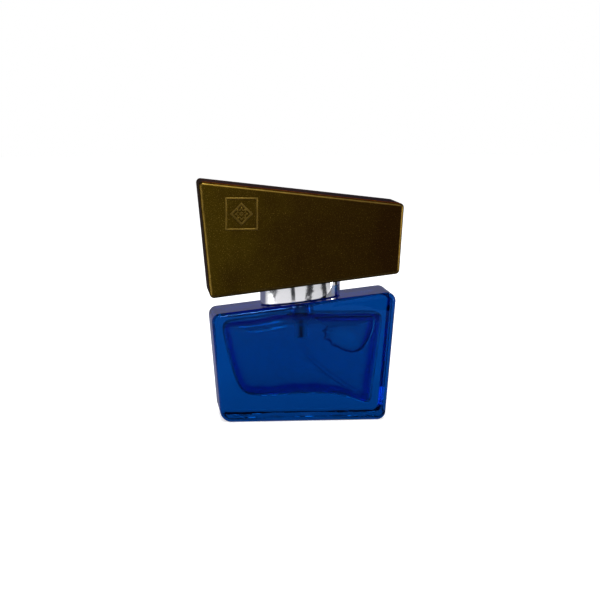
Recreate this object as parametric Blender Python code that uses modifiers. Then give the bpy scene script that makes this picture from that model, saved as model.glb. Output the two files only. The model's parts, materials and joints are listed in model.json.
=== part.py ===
"""Aftershave bottle: a slanted glass flask with a crimped spray pump, an oval collar and a wedge-shaped cap.

The origin is the centre of the flask's flat base, on the axis of the neck. +X is to the right seen from the
front, +Y to the back and +Z up. Lengths are in metres. The sizes below are the ones to change; every other
size and place follows from them.
"""

import math

import bmesh
import bpy
from mathutils import Vector

MM = 0.001

# Clearances
SEAT = 0.3 * MM  # between pieces that rest on each other or clip together
RUN = 0.15 * MM  # round a piece that slides inside another
OVERLAP = 1.0 * MM  # how far joined shapes reach into each other, and cutters past a wall

# Flask
GLASS_BASE_WIDTH = 68.3 * MM
GLASS_HEIGHT = 49.2 * MM  # base to slanted top, on the neck's axis
GLASS_DEPTH = 31.5 * MM
GLASS_SIDE_LEAN = math.radians(4.95)
GLASS_TOP_SLOPE = math.radians(6.6)
GLASS_CORNER_RADIUS = 3.5 * MM
GLASS_EDGE_RADIUS = 2.1 * MM
FACE_WALL = 3.5 * MM
LEFT_WALL_LOW = 10.9 * MM
LEFT_WALL_HIGH = 7.7 * MM
RIGHT_WALL = 5.0 * MM
FLOOR_LEFT = 7.9 * MM
FLOOR_RIGHT = 5.2 * MM
ROOF_LEFT = 4.8 * MM
ROOF_RIGHT = 9.0 * MM
CAVITY_CORNER_RADIUS = 4.5 * MM
CAVITY_EDGE_RADIUS = 3.0 * MM

# Neck
NECK_HEIGHT = 10.5 * MM
NECK_WALL = 2.3 * MM
NECK_BEAD_HEIGHT = 4.6 * MM
NECK_WAIST = 1.0 * MM  # how far the neck narrows under its bead
NECK_PLAY = 0.7 * MM  # between the pump housing and the neck's bore

# Pump
STROKE = 4.2 * MM
STEM_RADIUS = 1.6 * MM
STEM_BORE_RADIUS = 0.7 * MM
STEM_SHOULDER = 0.8 * MM  # radial width of the stem's two shoulders
STEM_SHOULDER_THICKNESS = 0.6 * MM
STEM_GRIP = 4.3 * MM  # length of the stem held in the actuator
CHAMBER_RADIUS = 3.2 * MM
HOUSING_WALL = 1.3 * MM
HOUSING_FLANGE_THICKNESS = 1.2 * MM
GASKET_THICKNESS = 1.0 * MM
SEAL_THICKNESS = 0.8 * MM
PISTON_LENGTH = 2.0 * MM
PISTON_LIFT = 0.4 * MM
PRELOAD_SPRING_LENGTH = 3.0 * MM
RETURN_SPRING_LENGTH = 9.2 * MM
SPRING_WIRE = 0.45 * MM
RETURN_SPRING_TURNS = 6
PRELOAD_SPRING_TURNS = 4
BALL_RADIUS = 1.0 * MM
BALL_LIFT = 0.8 * MM
BALL_CAGE_PLAY = 0.25 * MM
INLET_RADIUS = 0.6 * MM
TAIL_WALL = 1.0 * MM
TUBE_RADIUS = 1.2 * MM
TUBE_WALL = 0.5 * MM
TUBE_GRIP = 5.0 * MM  # length of the dip tube held in the housing's tail
TUBE_FLOOR_GAP = 2.4 * MM
TUBE_SIDE_GAP = 2.8 * MM  # tube's end to the side of the hollow
TURRET_FLANGE_THICKNESS = 1.0 * MM
TURRET_PLUG_LENGTH = 2.0 * MM
GUIDE_WALL = 2.2 * MM
GUIDE_HEIGHT = 2.9 * MM
FERRULE_WALL = 0.4 * MM
CRIMP_REACH = 0.8 * MM

# Actuator
ACTUATOR_RADIUS = 7.4 * MM
ACTUATOR_HEIGHT = 12.5 * MM
ACTUATOR_FLOOR_GAP = 0.7 * MM  # left above the ferrule, or the collar's ledge, at the end of the stroke
SLEEVE_WALL = 0.45 * MM
SLEEVE_EDGE = 0.8 * MM
NOZZLE_RADIUS = 1.8 * MM
NOZZLE_LENGTH = 2.6 * MM
NOZZLE_BELOW_TOP = 5.0 * MM
ORIFICE_RADIUS = 0.25 * MM
CHANNEL_RADIUS = 0.5 * MM

# Collar
COLLAR_WIDTH = 33.5 * MM
COLLAR_WALL = 0.6 * MM
COLLAR_EDGE = 0.8 * MM
COLLAR_POWER = 2.3  # exponent of the oval: 2 is an ellipse
LINER_WALL = 1.6 * MM  # at its thinnest, front and back of the ferrule
CORING_SHARE = 0.55  # half-depth of the liner's pockets as a share of the liner's
CHIMNEY_PLAY = 0.4 * MM
CHIMNEY_OVERLAP = 0.8 * MM

# Cap
CAP_WIDTH = 78.3 * MM  # across its lower edge, at the height where that edge crosses the neck's axis
CAP_OFFSET = 0.3 * MM
CAP_GAP = 6.95 * MM  # between flask and cap, on the neck's axis
CAP_HEADROOM = 12.9 * MM  # actuator's top to the cap's top, on the neck's axis
CAP_LEFT_LEAN = math.radians(5.4)
CAP_RIGHT_LEAN = math.radians(3.75)
CAP_TOP_SLOPE = math.radians(6.55)
CAP_BOTTOM_SLOPE = math.radians(7.0)
CAP_CORNER_RADIUS = 1.8 * MM
CAP_EDGE_RADIUS = 1.5 * MM
CAP_WALL = 1.8 * MM
CUP_WALL = 1.2 * MM
CUP_SIDE_GAP = 1.45 * MM  # between the cup and the shell's front and back
CUP_ROOF_GAP = 1.5 * MM
PLATE_THICKNESS = 1.6 * MM
PLATE_RECESS = 0.8 * MM
RIB_THICKNESS = 1.2 * MM
RIB_HEIGHT = 14.0 * MM
RIB_END_GAP = 6.0 * MM

# Embossed badge on the cap's front
BADGE_SIZE = 13.3 * MM
BADGE_FROM_LEFT = 15.7 * MM  # badge's centre to the left edge, at the height of the badge
BADGE_FROM_TOP = 10.9 * MM  # badge's centre down from the top edge
BADGE_LINE = 0.6 * MM
BADGE_RAISE = 0.25 * MM
BADGE_GAP = 2.0 * MM  # between the square and the lozenge inside it

# Facets
WIDE_STEPS = 40
NARROW_STEPS = 24
OVAL_POINTS = 48
COIL_POINTS = 12

# Widths that follow from the pump outwards
HOUSING_RADIUS = CHAMBER_RADIUS + HOUSING_WALL
NECK_BORE_RADIUS = HOUSING_RADIUS + NECK_PLAY
BEAD_RADIUS = NECK_BORE_RADIUS + NECK_WALL
FERRULE_BORE_RADIUS = BEAD_RADIUS + SEAT
FERRULE_RADIUS = FERRULE_BORE_RADIUS + FERRULE_WALL
FERRULE_FLAT_RADIUS = FERRULE_RADIUS - FERRULE_WALL
GUIDE_BORE_RADIUS = STEM_RADIUS + RUN
GUIDE_RADIUS = GUIDE_BORE_RADIUS + GUIDE_WALL
CHIMNEY_BORE_RADIUS = ACTUATOR_RADIUS + CHIMNEY_PLAY
# Under a chimney wider than the ferrule's flat top, a ledge keeps the collar resting on the ferrule.
HAS_LEDGE = CHIMNEY_BORE_RADIUS > FERRULE_FLAT_RADIUS + RUN
COLLAR_HALF_WIDTH = COLLAR_WIDTH / 2
COLLAR_HALF_DEPTH = FERRULE_RADIUS + SEAT + LINER_WALL + SEAT + COLLAR_WALL
CUP_BORE_HALF_WIDTH = COLLAR_HALF_WIDTH + SEAT
CUP_BORE_HALF_DEPTH = COLLAR_HALF_DEPTH + SEAT
CUP_HALF_WIDTH = CUP_BORE_HALF_WIDTH + CUP_WALL
CUP_HALF_DEPTH = CUP_BORE_HALF_DEPTH + CUP_WALL
CAP_HALF_DEPTH = CUP_HALF_DEPTH + CUP_SIDE_GAP + CAP_WALL

# Heights above the neck's rim
FLANGE_BOTTOM = SEAT + GASKET_THICKNESS + SEAT
FLANGE_TOP = FLANGE_BOTTOM + HOUSING_FLANGE_THICKNESS
TURRET_BOTTOM = FLANGE_TOP + SEAT
TURRET_TOP = TURRET_BOTTOM + TURRET_FLANGE_THICKNESS
FERRULE_CEILING = TURRET_TOP + SEAT
FERRULE_TOP = FERRULE_CEILING + FERRULE_WALL
GUIDE_TOP = TURRET_TOP + GUIDE_HEIGHT
SHOULDER_BOTTOM = FERRULE_TOP + SEAT
SHOULDER_TOP = SHOULDER_BOTTOM + COLLAR_WALL
ACTUATOR_FLOOR = SHOULDER_TOP if HAS_LEDGE else FERRULE_TOP
ACTUATOR_BOTTOM = ACTUATOR_FLOOR + STROKE + ACTUATOR_FLOOR_GAP
ACTUATOR_TOP = ACTUATOR_BOTTOM + ACTUATOR_HEIGHT
CHIMNEY_TOP = ACTUATOR_BOTTOM + CHIMNEY_OVERLAP
PLUG_BOTTOM = TURRET_BOTTOM - TURRET_PLUG_LENGTH
SEAL_TOP = PLUG_BOTTOM - SEAT
SEAL_BOTTOM = SEAL_TOP - SEAL_THICKNESS
UPPER_SHOULDER_TOP = SEAL_BOTTOM - SEAT
UPPER_SHOULDER_BOTTOM = UPPER_SHOULDER_TOP - STEM_SHOULDER_THICKNESS
PRELOAD_TOP = UPPER_SHOULDER_BOTTOM - RUN
PRELOAD_BOTTOM = PRELOAD_TOP - PRELOAD_SPRING_LENGTH
PISTON_TOP = PRELOAD_BOTTOM - RUN
PISTON_BOTTOM = PISTON_TOP - PISTON_LENGTH
LOWER_SHOULDER_TOP = PISTON_BOTTOM - RUN
LOWER_SHOULDER_BOTTOM = LOWER_SHOULDER_TOP - STEM_SHOULDER_THICKNESS
RETURN_TOP = LOWER_SHOULDER_BOTTOM - RUN
RETURN_BOTTOM = RETURN_TOP - RETURN_SPRING_LENGTH
CHAMBER_FLOOR = RETURN_BOTTOM - RUN

# Ball valve under the chamber
CAGE_RADIUS = BALL_RADIUS + BALL_CAGE_PLAY
CAGE_ROOF = CHAMBER_FLOOR - STEM_SHOULDER_THICKNESS
SEAT_CONE_HEIGHT = CAGE_RADIUS - INLET_RADIUS
# A ball in a 45 degree cone is this far above the cone's rim, RUN clear of the cone's wall.
BALL_ABOVE_CONE = (BALL_RADIUS + RUN) * math.sqrt(2) - CAGE_RADIUS
CONE_TOP = CAGE_ROOF - RUN - BALL_RADIUS - BALL_LIFT - BALL_ABOVE_CONE
BALL_CENTRE = CONE_TOP + BALL_ABOVE_CONE
CONE_BOTTOM = CONE_TOP - SEAT_CONE_HEIGHT
SOCKET_TOP = CONE_BOTTOM - STEM_SHOULDER_THICKNESS
TUBE_TOP = SOCKET_TOP - SEAT
TAIL_BOTTOM = TUBE_TOP - TUBE_GRIP
SOCKET_RADIUS = TUBE_RADIUS + RUN
TAIL_RADIUS = SOCKET_RADIUS + TAIL_WALL

# Places
NECK_RIM_Z = GLASS_HEIGHT + NECK_HEIGHT
CAP_DATUM_Z = GLASS_HEIGHT + CAP_GAP
STEM_TOP = GUIDE_TOP + STROKE + SEAT + STEM_GRIP
CAP_TOP_ON_AXIS = NECK_RIM_Z + ACTUATOR_TOP + CAP_HEADROOM - CAP_DATUM_Z


def clear_scene():
    for item in list(bpy.data.objects):
        bpy.data.objects.remove(item, do_unlink=True)


def new_collection(name, hidden=False):
    group = bpy.data.collections.new(name)
    group.hide_render = hidden
    bpy.context.scene.collection.children.link(group)
    return group


def new_material(name, colour, roughness, metallic=0.0, transmission=0.0):
    material = bpy.data.materials.new(name)
    material.use_nodes = True
    shader = material.node_tree.nodes["Principled BSDF"]
    shader.inputs["Base Color"].default_value = (*colour, 1.0)
    shader.inputs["Roughness"].default_value = roughness
    shader.inputs["Metallic"].default_value = metallic
    shader.inputs["Transmission Weight"].default_value = transmission
    material.diffuse_color = (*colour, 1.0)
    return material


def new_object(name, mesh, group, location=(0, 0, 0), material=None, parent=None):
    """An object at a place given in its parent's frame, or in the world's if it has none."""
    item = bpy.data.objects.new(name, mesh)
    item.location = location
    item.parent = parent
    if material:
        mesh.materials.append(material)
    group.objects.link(item)
    return item


def new_cutter(name, mesh, group, location=(0, 0, 0), parent=None):
    item = new_object(name, mesh, group, location, parent=parent)
    item.hide_render = True
    item.display_type = "WIRE"
    return item


def new_joint(name, height, group, parent=None):
    joint = bpy.data.objects.new(name, None)
    joint.location = (0, 0, height)
    joint.parent = parent
    joint.empty_display_size = 5 * MM
    group.objects.link(joint)
    return joint


def mesh_of(name, build):
    """A mesh whose shape the function build adds to an empty bmesh."""
    shape = bmesh.new()
    build(shape)
    bmesh.ops.recalc_face_normals(shape, faces=shape.faces)
    mesh = bpy.data.meshes.new(name)
    shape.to_mesh(mesh)
    shape.free()
    return mesh


def shade_round(mesh):
    mesh.shade_smooth()
    mesh.set_sharp_from_angle(angle=math.radians(35))


def add_boolean(item, operation, other):
    cut = item.modifiers.new(f"{operation.lower()} {other.name}", "BOOLEAN")
    cut.operation = operation
    cut.object = other
    cut.solver = "EXACT"


def add_bevel(item, width, segments, by_weight=False):
    bevel = item.modifiers.new("round corners" if by_weight else "round edges", "BEVEL")
    bevel.limit_method = "WEIGHT" if by_weight else "ANGLE"
    bevel.angle_limit = math.radians(30)
    bevel.width = width
    bevel.segments = segments
    bevel.use_clamp_overlap = True


def wedge_mesh(name, corners, half_depth):
    """A cube moved onto four corners in XZ, in the order bottom left, bottom right, top right, top left."""
    bottom_left, bottom_right, top_right, top_left = corners
    places = {(-1, -1): bottom_left, (1, -1): bottom_right, (1, 1): top_right, (-1, 1): top_left}

    def build(shape):
        bmesh.ops.create_cube(shape, size=2)
        weight = shape.edges.layers.float.new("bevel_weight_edge")
        for edge in shape.edges:
            start, end = (vert.co for vert in edge.verts)
            edge[weight] = 1.0 if start.y * end.y < 0 else 0.0
        for vert in shape.verts:
            x, z = places[(round(vert.co.x), round(vert.co.z))]
            vert.co = (x, vert.co.y * half_depth, z)

    return mesh_of(name, build)


def turned_mesh(name, profile):
    """The edges of a profile of (radius, height) points; it runs down its outer side."""
    closed = profile[0][0] > 0

    def build(shape):
        verts = [shape.verts.new((radius, 0, height)) for radius, height in profile]
        for first, second in zip(verts, verts[1:]):
            shape.edges.new((first, second))
        if closed:
            shape.edges.new((verts[-1], verts[0]))

    return mesh_of(name, build)


def add_turning(item, steps):
    screw = item.modifiers.new("turn", "SCREW")
    screw.steps = steps
    screw.render_steps = steps
    screw.use_merge_vertices = True
    screw.merge_threshold = 0.000005
    screw.use_smooth_shade = True


def turned(name, profile, steps, group, location, material, parent=None):
    item = new_object(name, turned_mesh(name, profile), group, location, material, parent)
    add_turning(item, steps)
    return item


def turned_cutter(name, profile, steps, group, location, parent=None):
    item = new_cutter(name, turned_mesh(name, profile), group, location, parent)
    add_turning(item, steps)
    return item


def ring_profile(inner, outer, bottom, top):
    return [(outer, top), (outer, bottom), (inner, bottom), (inner, top)]


def rod_profile(radius, bottom, top):
    return [(0, top), (radius, top), (radius, bottom), (0, bottom)]


def oval(half_width, half_depth, height, power=COLLAR_POWER):
    """A closed ring of points on a superellipse; height is a number or a function of x."""
    points = []
    for index in range(OVAL_POINTS):
        angle = 2 * math.pi * index / OVAL_POINTS
        across = math.copysign(abs(math.cos(angle)) ** (2 / power), math.cos(angle))
        along = math.copysign(abs(math.sin(angle)) ** (2 / power), math.sin(angle))
        x = half_width * across
        z = height(x) if callable(height) else height
        points.append(Vector((x, half_depth * along, z)))
    return points


def circle(radius, height):
    return oval(radius, radius, height, power=2)


def loft_mesh(name, rings, tube):
    """A skin over rings of equal length. A tube's last ring meets its first, and other skins are capped."""

    def build(shape):
        loops = [[shape.verts.new(point) for point in ring] for ring in rings]
        pairs = list(zip(loops, loops[1:]))
        if tube:
            pairs.append((loops[-1], loops[0]))
        for lower, upper in pairs:
            for index in range(len(lower)):
                following = (index + 1) % len(lower)
                shape.faces.new((lower[index], lower[following], upper[following], upper[index]))
        if not tube:
            shape.faces.new(loops[0])
            shape.faces.new(loops[-1])

    mesh = mesh_of(name, build)
    shade_round(mesh)
    return mesh


def curve_object(name, points, group, location, radius, resolution, capped, closed=False):
    data = bpy.data.curves.new(name, "CURVE")
    data.dimensions = "3D"
    data.bevel_depth = radius
    data.bevel_resolution = resolution
    data.use_fill_caps = capped
    spline = data.splines.new("POLY")
    spline.points.add(len(points) - 1)
    for point, place in zip(spline.points, points):
        point.co = (*place, 1.0)
    spline.use_cyclic_u = closed
    item = bpy.data.objects.new(name, data)
    item.location = location
    group.objects.link(item)
    return item


def coil_points(radius, bottom, top, turns):
    """A compression spring's centre line, with one flattened turn at each end."""
    low = bottom + SPRING_WIRE / 2
    high = top - SPRING_WIRE / 2
    flat_rise = 1.3 * SPRING_WIRE
    slope = (high - low - 2 * flat_rise) / (turns - 2)
    points = []
    for index in range(turns * COIL_POINTS + 1):
        turn = index / COIL_POINTS
        angle = 2 * math.pi * turn
        flat_turns = min(turn, 1) + max(turn - turns + 1, 0)
        rise = flat_rise * flat_turns + slope * min(max(turn - 1, 0), turns - 2)
        points.append((radius * math.cos(angle), radius * math.sin(angle), low + rise))
    return points


def glass_top(x):
    return GLASS_HEIGHT + x * math.tan(GLASS_TOP_SLOPE)


def collar_foot(x):
    """The lower edge of the collar, as a height above the neck's rim."""
    return glass_top(x) + SEAT - NECK_RIM_Z


def cap_bottom(x):
    """The cap's lower edge, as a height above the cap's datum."""
    return x * math.tan(CAP_BOTTOM_SLOPE)


def cap_top(x):
    return CAP_TOP_ON_AXIS - x * math.tan(CAP_TOP_SLOPE)


def lean_meets_slope(foot_x, lean, height_on_axis, slope):
    """Where a side that leans outwards from (foot_x, 0) meets a line that crosses the axis at a height."""
    outwards = math.copysign(math.tan(lean), foot_x)
    z = (height_on_axis + foot_x * math.tan(slope)) / (1 - outwards * math.tan(slope))
    return foot_x + outwards * z, z


def glass_corners():
    half = GLASS_BASE_WIDTH / 2
    return [
        (-half, 0.0),
        (half, 0.0),
        lean_meets_slope(half, GLASS_SIDE_LEAN, GLASS_HEIGHT, GLASS_TOP_SLOPE),
        lean_meets_slope(-half, GLASS_SIDE_LEAN, GLASS_HEIGHT, GLASS_TOP_SLOPE),
    ]


def cavity_corners():
    """Each corner of the hollow, from the walls' thicknesses there."""

    def glass_side(z):
        return GLASS_BASE_WIDTH / 2 + z * math.tan(GLASS_SIDE_LEAN)

    left_low = (LEFT_WALL_LOW - glass_side(FLOOR_LEFT), FLOOR_LEFT)
    right_low = (glass_side(FLOOR_RIGHT) - RIGHT_WALL, FLOOR_RIGHT)
    (_, _, top_right, top_left) = glass_corners()
    left_high_z = glass_top(top_left[0] + LEFT_WALL_HIGH) - ROOF_LEFT
    right_high_z = glass_top(top_right[0] - RIGHT_WALL) - ROOF_RIGHT
    left_high = (LEFT_WALL_HIGH - glass_side(left_high_z), left_high_z)
    right_high = (glass_side(right_high_z) - RIGHT_WALL, right_high_z)
    return [left_low, right_low, right_high, left_high]


def cap_corners(inset=0.0, below=0.0):
    """The cap's outline moved in by inset, and its open lower side moved down by below."""
    half = CAP_WIDTH / 2
    left = CAP_OFFSET - half + inset / math.cos(CAP_LEFT_LEAN)
    right = CAP_OFFSET + half - inset / math.cos(CAP_RIGHT_LEAN)
    top = CAP_TOP_ON_AXIS - inset / math.cos(CAP_TOP_SLOPE)
    return [
        lean_meets_slope(left, CAP_LEFT_LEAN, -below, CAP_BOTTOM_SLOPE),
        lean_meets_slope(right, CAP_RIGHT_LEAN, -below, CAP_BOTTOM_SLOPE),
        lean_meets_slope(right, CAP_RIGHT_LEAN, top, -CAP_TOP_SLOPE),
        lean_meets_slope(left, CAP_LEFT_LEAN, top, -CAP_TOP_SLOPE),
    ]


def make_glass_bottle(parts, cutters, glass):
    outline = wedge_mesh("glass_bottle", glass_corners(), GLASS_DEPTH / 2)
    bottle = new_object("glass_bottle", outline, parts, material=glass)
    add_bevel(bottle, GLASS_CORNER_RADIUS, 4, by_weight=True)
    add_bevel(bottle, GLASS_EDGE_RADIUS, 3)
    rim = (0, 0, NECK_RIM_Z)
    waist = BEAD_RADIUS - NECK_WAIST
    neck_profile = [
        (0, 0),
        (BEAD_RADIUS - NECK_WAIST / 2, 0),
        (BEAD_RADIUS, -NECK_WAIST / 2),
        (BEAD_RADIUS, NECK_WAIST / 2 - NECK_BEAD_HEIGHT),
        (waist, -NECK_BEAD_HEIGHT),
        (waist, -NECK_HEIGHT - 2 * OVERLAP),
        (0, -NECK_HEIGHT - 2 * OVERLAP),
    ]
    neck = turned_cutter("neck", neck_profile, WIDE_STEPS, cutters, rim)
    hollow = wedge_mesh("cavity", cavity_corners(), GLASS_DEPTH / 2 - FACE_WALL)
    cavity = new_cutter("cavity", hollow, cutters)
    add_bevel(cavity, CAVITY_CORNER_RADIUS, 4, by_weight=True)
    add_bevel(cavity, CAVITY_EDGE_RADIUS, 3)
    bore_bottom = cavity_corners()[0][1] + GLASS_HEIGHT / 2 - NECK_RIM_Z
    bore_profile = rod_profile(NECK_BORE_RADIUS, bore_bottom, OVERLAP)
    bore = turned_cutter("neck bore", bore_profile, WIDE_STEPS, cutters, rim)
    add_boolean(bottle, "UNION", neck)
    add_boolean(bottle, "DIFFERENCE", cavity)
    add_boolean(bottle, "DIFFERENCE", bore)


def make_closure(parts, aluminium, rubber):
    rim = (0, 0, NECK_RIM_Z)
    gasket = ring_profile(HOUSING_RADIUS + SEAT, BEAD_RADIUS - SEAT, SEAT, SEAT + GASKET_THICKNESS)
    turned("neck_gasket", gasket, WIDE_STEPS, parts, rim, rubber)
    crimp_top = NECK_WAIST / 2 - NECK_BEAD_HEIGHT - SEAT
    ferrule = [
        (GUIDE_RADIUS + SEAT, FERRULE_TOP),
        (FERRULE_FLAT_RADIUS, FERRULE_TOP),
        (FERRULE_RADIUS, FERRULE_TOP - FERRULE_WALL),
        (FERRULE_RADIUS, crimp_top),
        (FERRULE_RADIUS - CRIMP_REACH, crimp_top - CRIMP_REACH),
        (FERRULE_BORE_RADIUS - CRIMP_REACH, crimp_top - CRIMP_REACH),
        (FERRULE_BORE_RADIUS, crimp_top),
        (FERRULE_BORE_RADIUS, FERRULE_CEILING),
        (GUIDE_RADIUS + SEAT, FERRULE_CEILING),
    ]
    turned("crimp_ferrule", ferrule, WIDE_STEPS, parts, rim, aluminium)


def make_pump_body(parts, plastic, rubber):
    rim = (0, 0, NECK_RIM_Z)
    flange_radius = FERRULE_BORE_RADIUS - 2 * SEAT
    body_bottom = CAGE_ROOF
    housing = [
        (flange_radius, FLANGE_TOP),
        (flange_radius, FLANGE_BOTTOM),
        (HOUSING_RADIUS, FLANGE_BOTTOM),
        (HOUSING_RADIUS, body_bottom),
        (TAIL_RADIUS, body_bottom - (HOUSING_RADIUS - TAIL_RADIUS)),
        (TAIL_RADIUS, TAIL_BOTTOM),
        (SOCKET_RADIUS, TAIL_BOTTOM),
        (SOCKET_RADIUS, SOCKET_TOP),
        (INLET_RADIUS, SOCKET_TOP),
        (INLET_RADIUS, CONE_BOTTOM),
        (CAGE_RADIUS, CONE_TOP),
        (CAGE_RADIUS, CAGE_ROOF),
        (INLET_RADIUS, CAGE_ROOF),
        (INLET_RADIUS, CHAMBER_FLOOR),
        (CHAMBER_RADIUS, CHAMBER_FLOOR),
        (CHAMBER_RADIUS, FLANGE_TOP),
    ]
    turned("pump_housing", housing, NARROW_STEPS, parts, rim, plastic)
    turret = [
        (GUIDE_RADIUS, GUIDE_TOP),
        (GUIDE_RADIUS, TURRET_TOP),
        (flange_radius, TURRET_TOP),
        (flange_radius, TURRET_BOTTOM),
        (CHAMBER_RADIUS - RUN, TURRET_BOTTOM),
        (CHAMBER_RADIUS - RUN, PLUG_BOTTOM),
        (GUIDE_BORE_RADIUS, PLUG_BOTTOM),
        (GUIDE_BORE_RADIUS, GUIDE_TOP),
    ]
    turned("pump_turret", turret, NARROW_STEPS, parts, rim, plastic)
    seal = ring_profile(STEM_RADIUS + RUN, CHAMBER_RADIUS - RUN, SEAL_BOTTOM, SEAL_TOP)
    turned("stem_seal", seal, NARROW_STEPS, parts, rim, rubber)


def make_plunger(parts, joint, plastic):
    """The stem and the piston, whose heights are given from the neck's rim as the joint is."""
    shoulder_radius = STEM_RADIUS + STEM_SHOULDER
    stem = [
        (0, PISTON_TOP),
        (STEM_BORE_RADIUS, PISTON_TOP),
        (STEM_BORE_RADIUS, STEM_TOP),
        (STEM_RADIUS, STEM_TOP),
        (STEM_RADIUS, UPPER_SHOULDER_TOP),
        (shoulder_radius, UPPER_SHOULDER_TOP),
        (shoulder_radius, UPPER_SHOULDER_BOTTOM),
        (STEM_RADIUS, UPPER_SHOULDER_BOTTOM),
        (STEM_RADIUS, LOWER_SHOULDER_TOP),
        (shoulder_radius, LOWER_SHOULDER_TOP),
        (shoulder_radius, LOWER_SHOULDER_BOTTOM),
        (0, LOWER_SHOULDER_BOTTOM),
    ]
    turned("pump_stem", stem, NARROW_STEPS, parts, (0, 0, 0), plastic, joint)
    waist = (CHAMBER_RADIUS - RUN + STEM_RADIUS + RUN) / 2
    outer = CHAMBER_RADIUS - RUN
    lip = PISTON_LENGTH / 4
    piston = [
        (outer, PISTON_TOP),
        (outer, PISTON_TOP - lip),
        (waist, PISTON_TOP - lip),
        (waist, PISTON_BOTTOM + lip),
        (outer, PISTON_BOTTOM + lip),
        (outer, PISTON_BOTTOM),
        (STEM_RADIUS + RUN, PISTON_BOTTOM),
        (STEM_RADIUS + RUN, PISTON_TOP),
    ]
    turned("pump_piston", piston, NARROW_STEPS, parts, (0, 0, 0), plastic, joint)


def make_springs(parts, steel):
    rim = (0, 0, NECK_RIM_Z)
    return_radius = STEM_RADIUS + STEM_SHOULDER - SPRING_WIRE / 2
    preload_radius = STEM_RADIUS + RUN + SPRING_WIRE / 2
    coils = {
        "return_spring": coil_points(return_radius, RETURN_BOTTOM, RETURN_TOP, RETURN_SPRING_TURNS),
        "preload_spring": coil_points(preload_radius, PRELOAD_BOTTOM, PRELOAD_TOP, PRELOAD_SPRING_TURNS),
    }
    for name, points in coils.items():
        spring = curve_object(name, points, parts, rim, SPRING_WIRE / 2, 1, capped=True)
        spring.data.materials.append(steel)


def make_ball(parts, steel):
    def build(shape):
        bmesh.ops.create_uvsphere(shape, u_segments=16, v_segments=10, radius=BALL_RADIUS)

    mesh = mesh_of("inlet_ball", build)
    mesh.shade_smooth()
    new_object("inlet_ball", mesh, parts, (0, 0, NECK_RIM_Z + BALL_CENTRE), steel)


def make_dip_tube(parts, plastic):
    """A thin tube that hangs from the pump and bends to the hollow's lower right corner."""
    left_low, right_low, _, _ = cavity_corners()
    start = Vector((0, 0, NECK_RIM_Z + TUBE_TOP))
    foot = Vector((0, 0, NECK_RIM_Z + TAIL_BOTTOM))
    end_x = right_low[0] - TUBE_SIDE_GAP
    floor_slope = (right_low[1] - left_low[1]) / (right_low[0] - left_low[0])
    end = Vector((end_x, 0, right_low[1] + floor_slope * (end_x - right_low[0]) + TUBE_FLOOR_GAP))
    drop = foot.z - end.z
    straight_down = foot - Vector((0, 0, 0.35 * drop))
    along_floor = end + Vector((-0.45 * end_x, 0, 0.32 * drop))
    steps = 18
    points = [start]
    for index in range(steps + 1):
        share = index / steps
        rest = 1 - share
        points.append(
            rest**3 * foot
            + 3 * rest**2 * share * straight_down
            + 3 * rest * share**2 * along_floor
            + share**3 * end
        )
    tube = curve_object("dip_tube", points, parts, (0, 0, 0), TUBE_RADIUS, 2, capped=False)
    wall = tube.modifiers.new("wall", "SOLIDIFY")
    wall.thickness = TUBE_WALL
    wall.offset = -1
    tube.data.materials.append(plastic)


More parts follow.
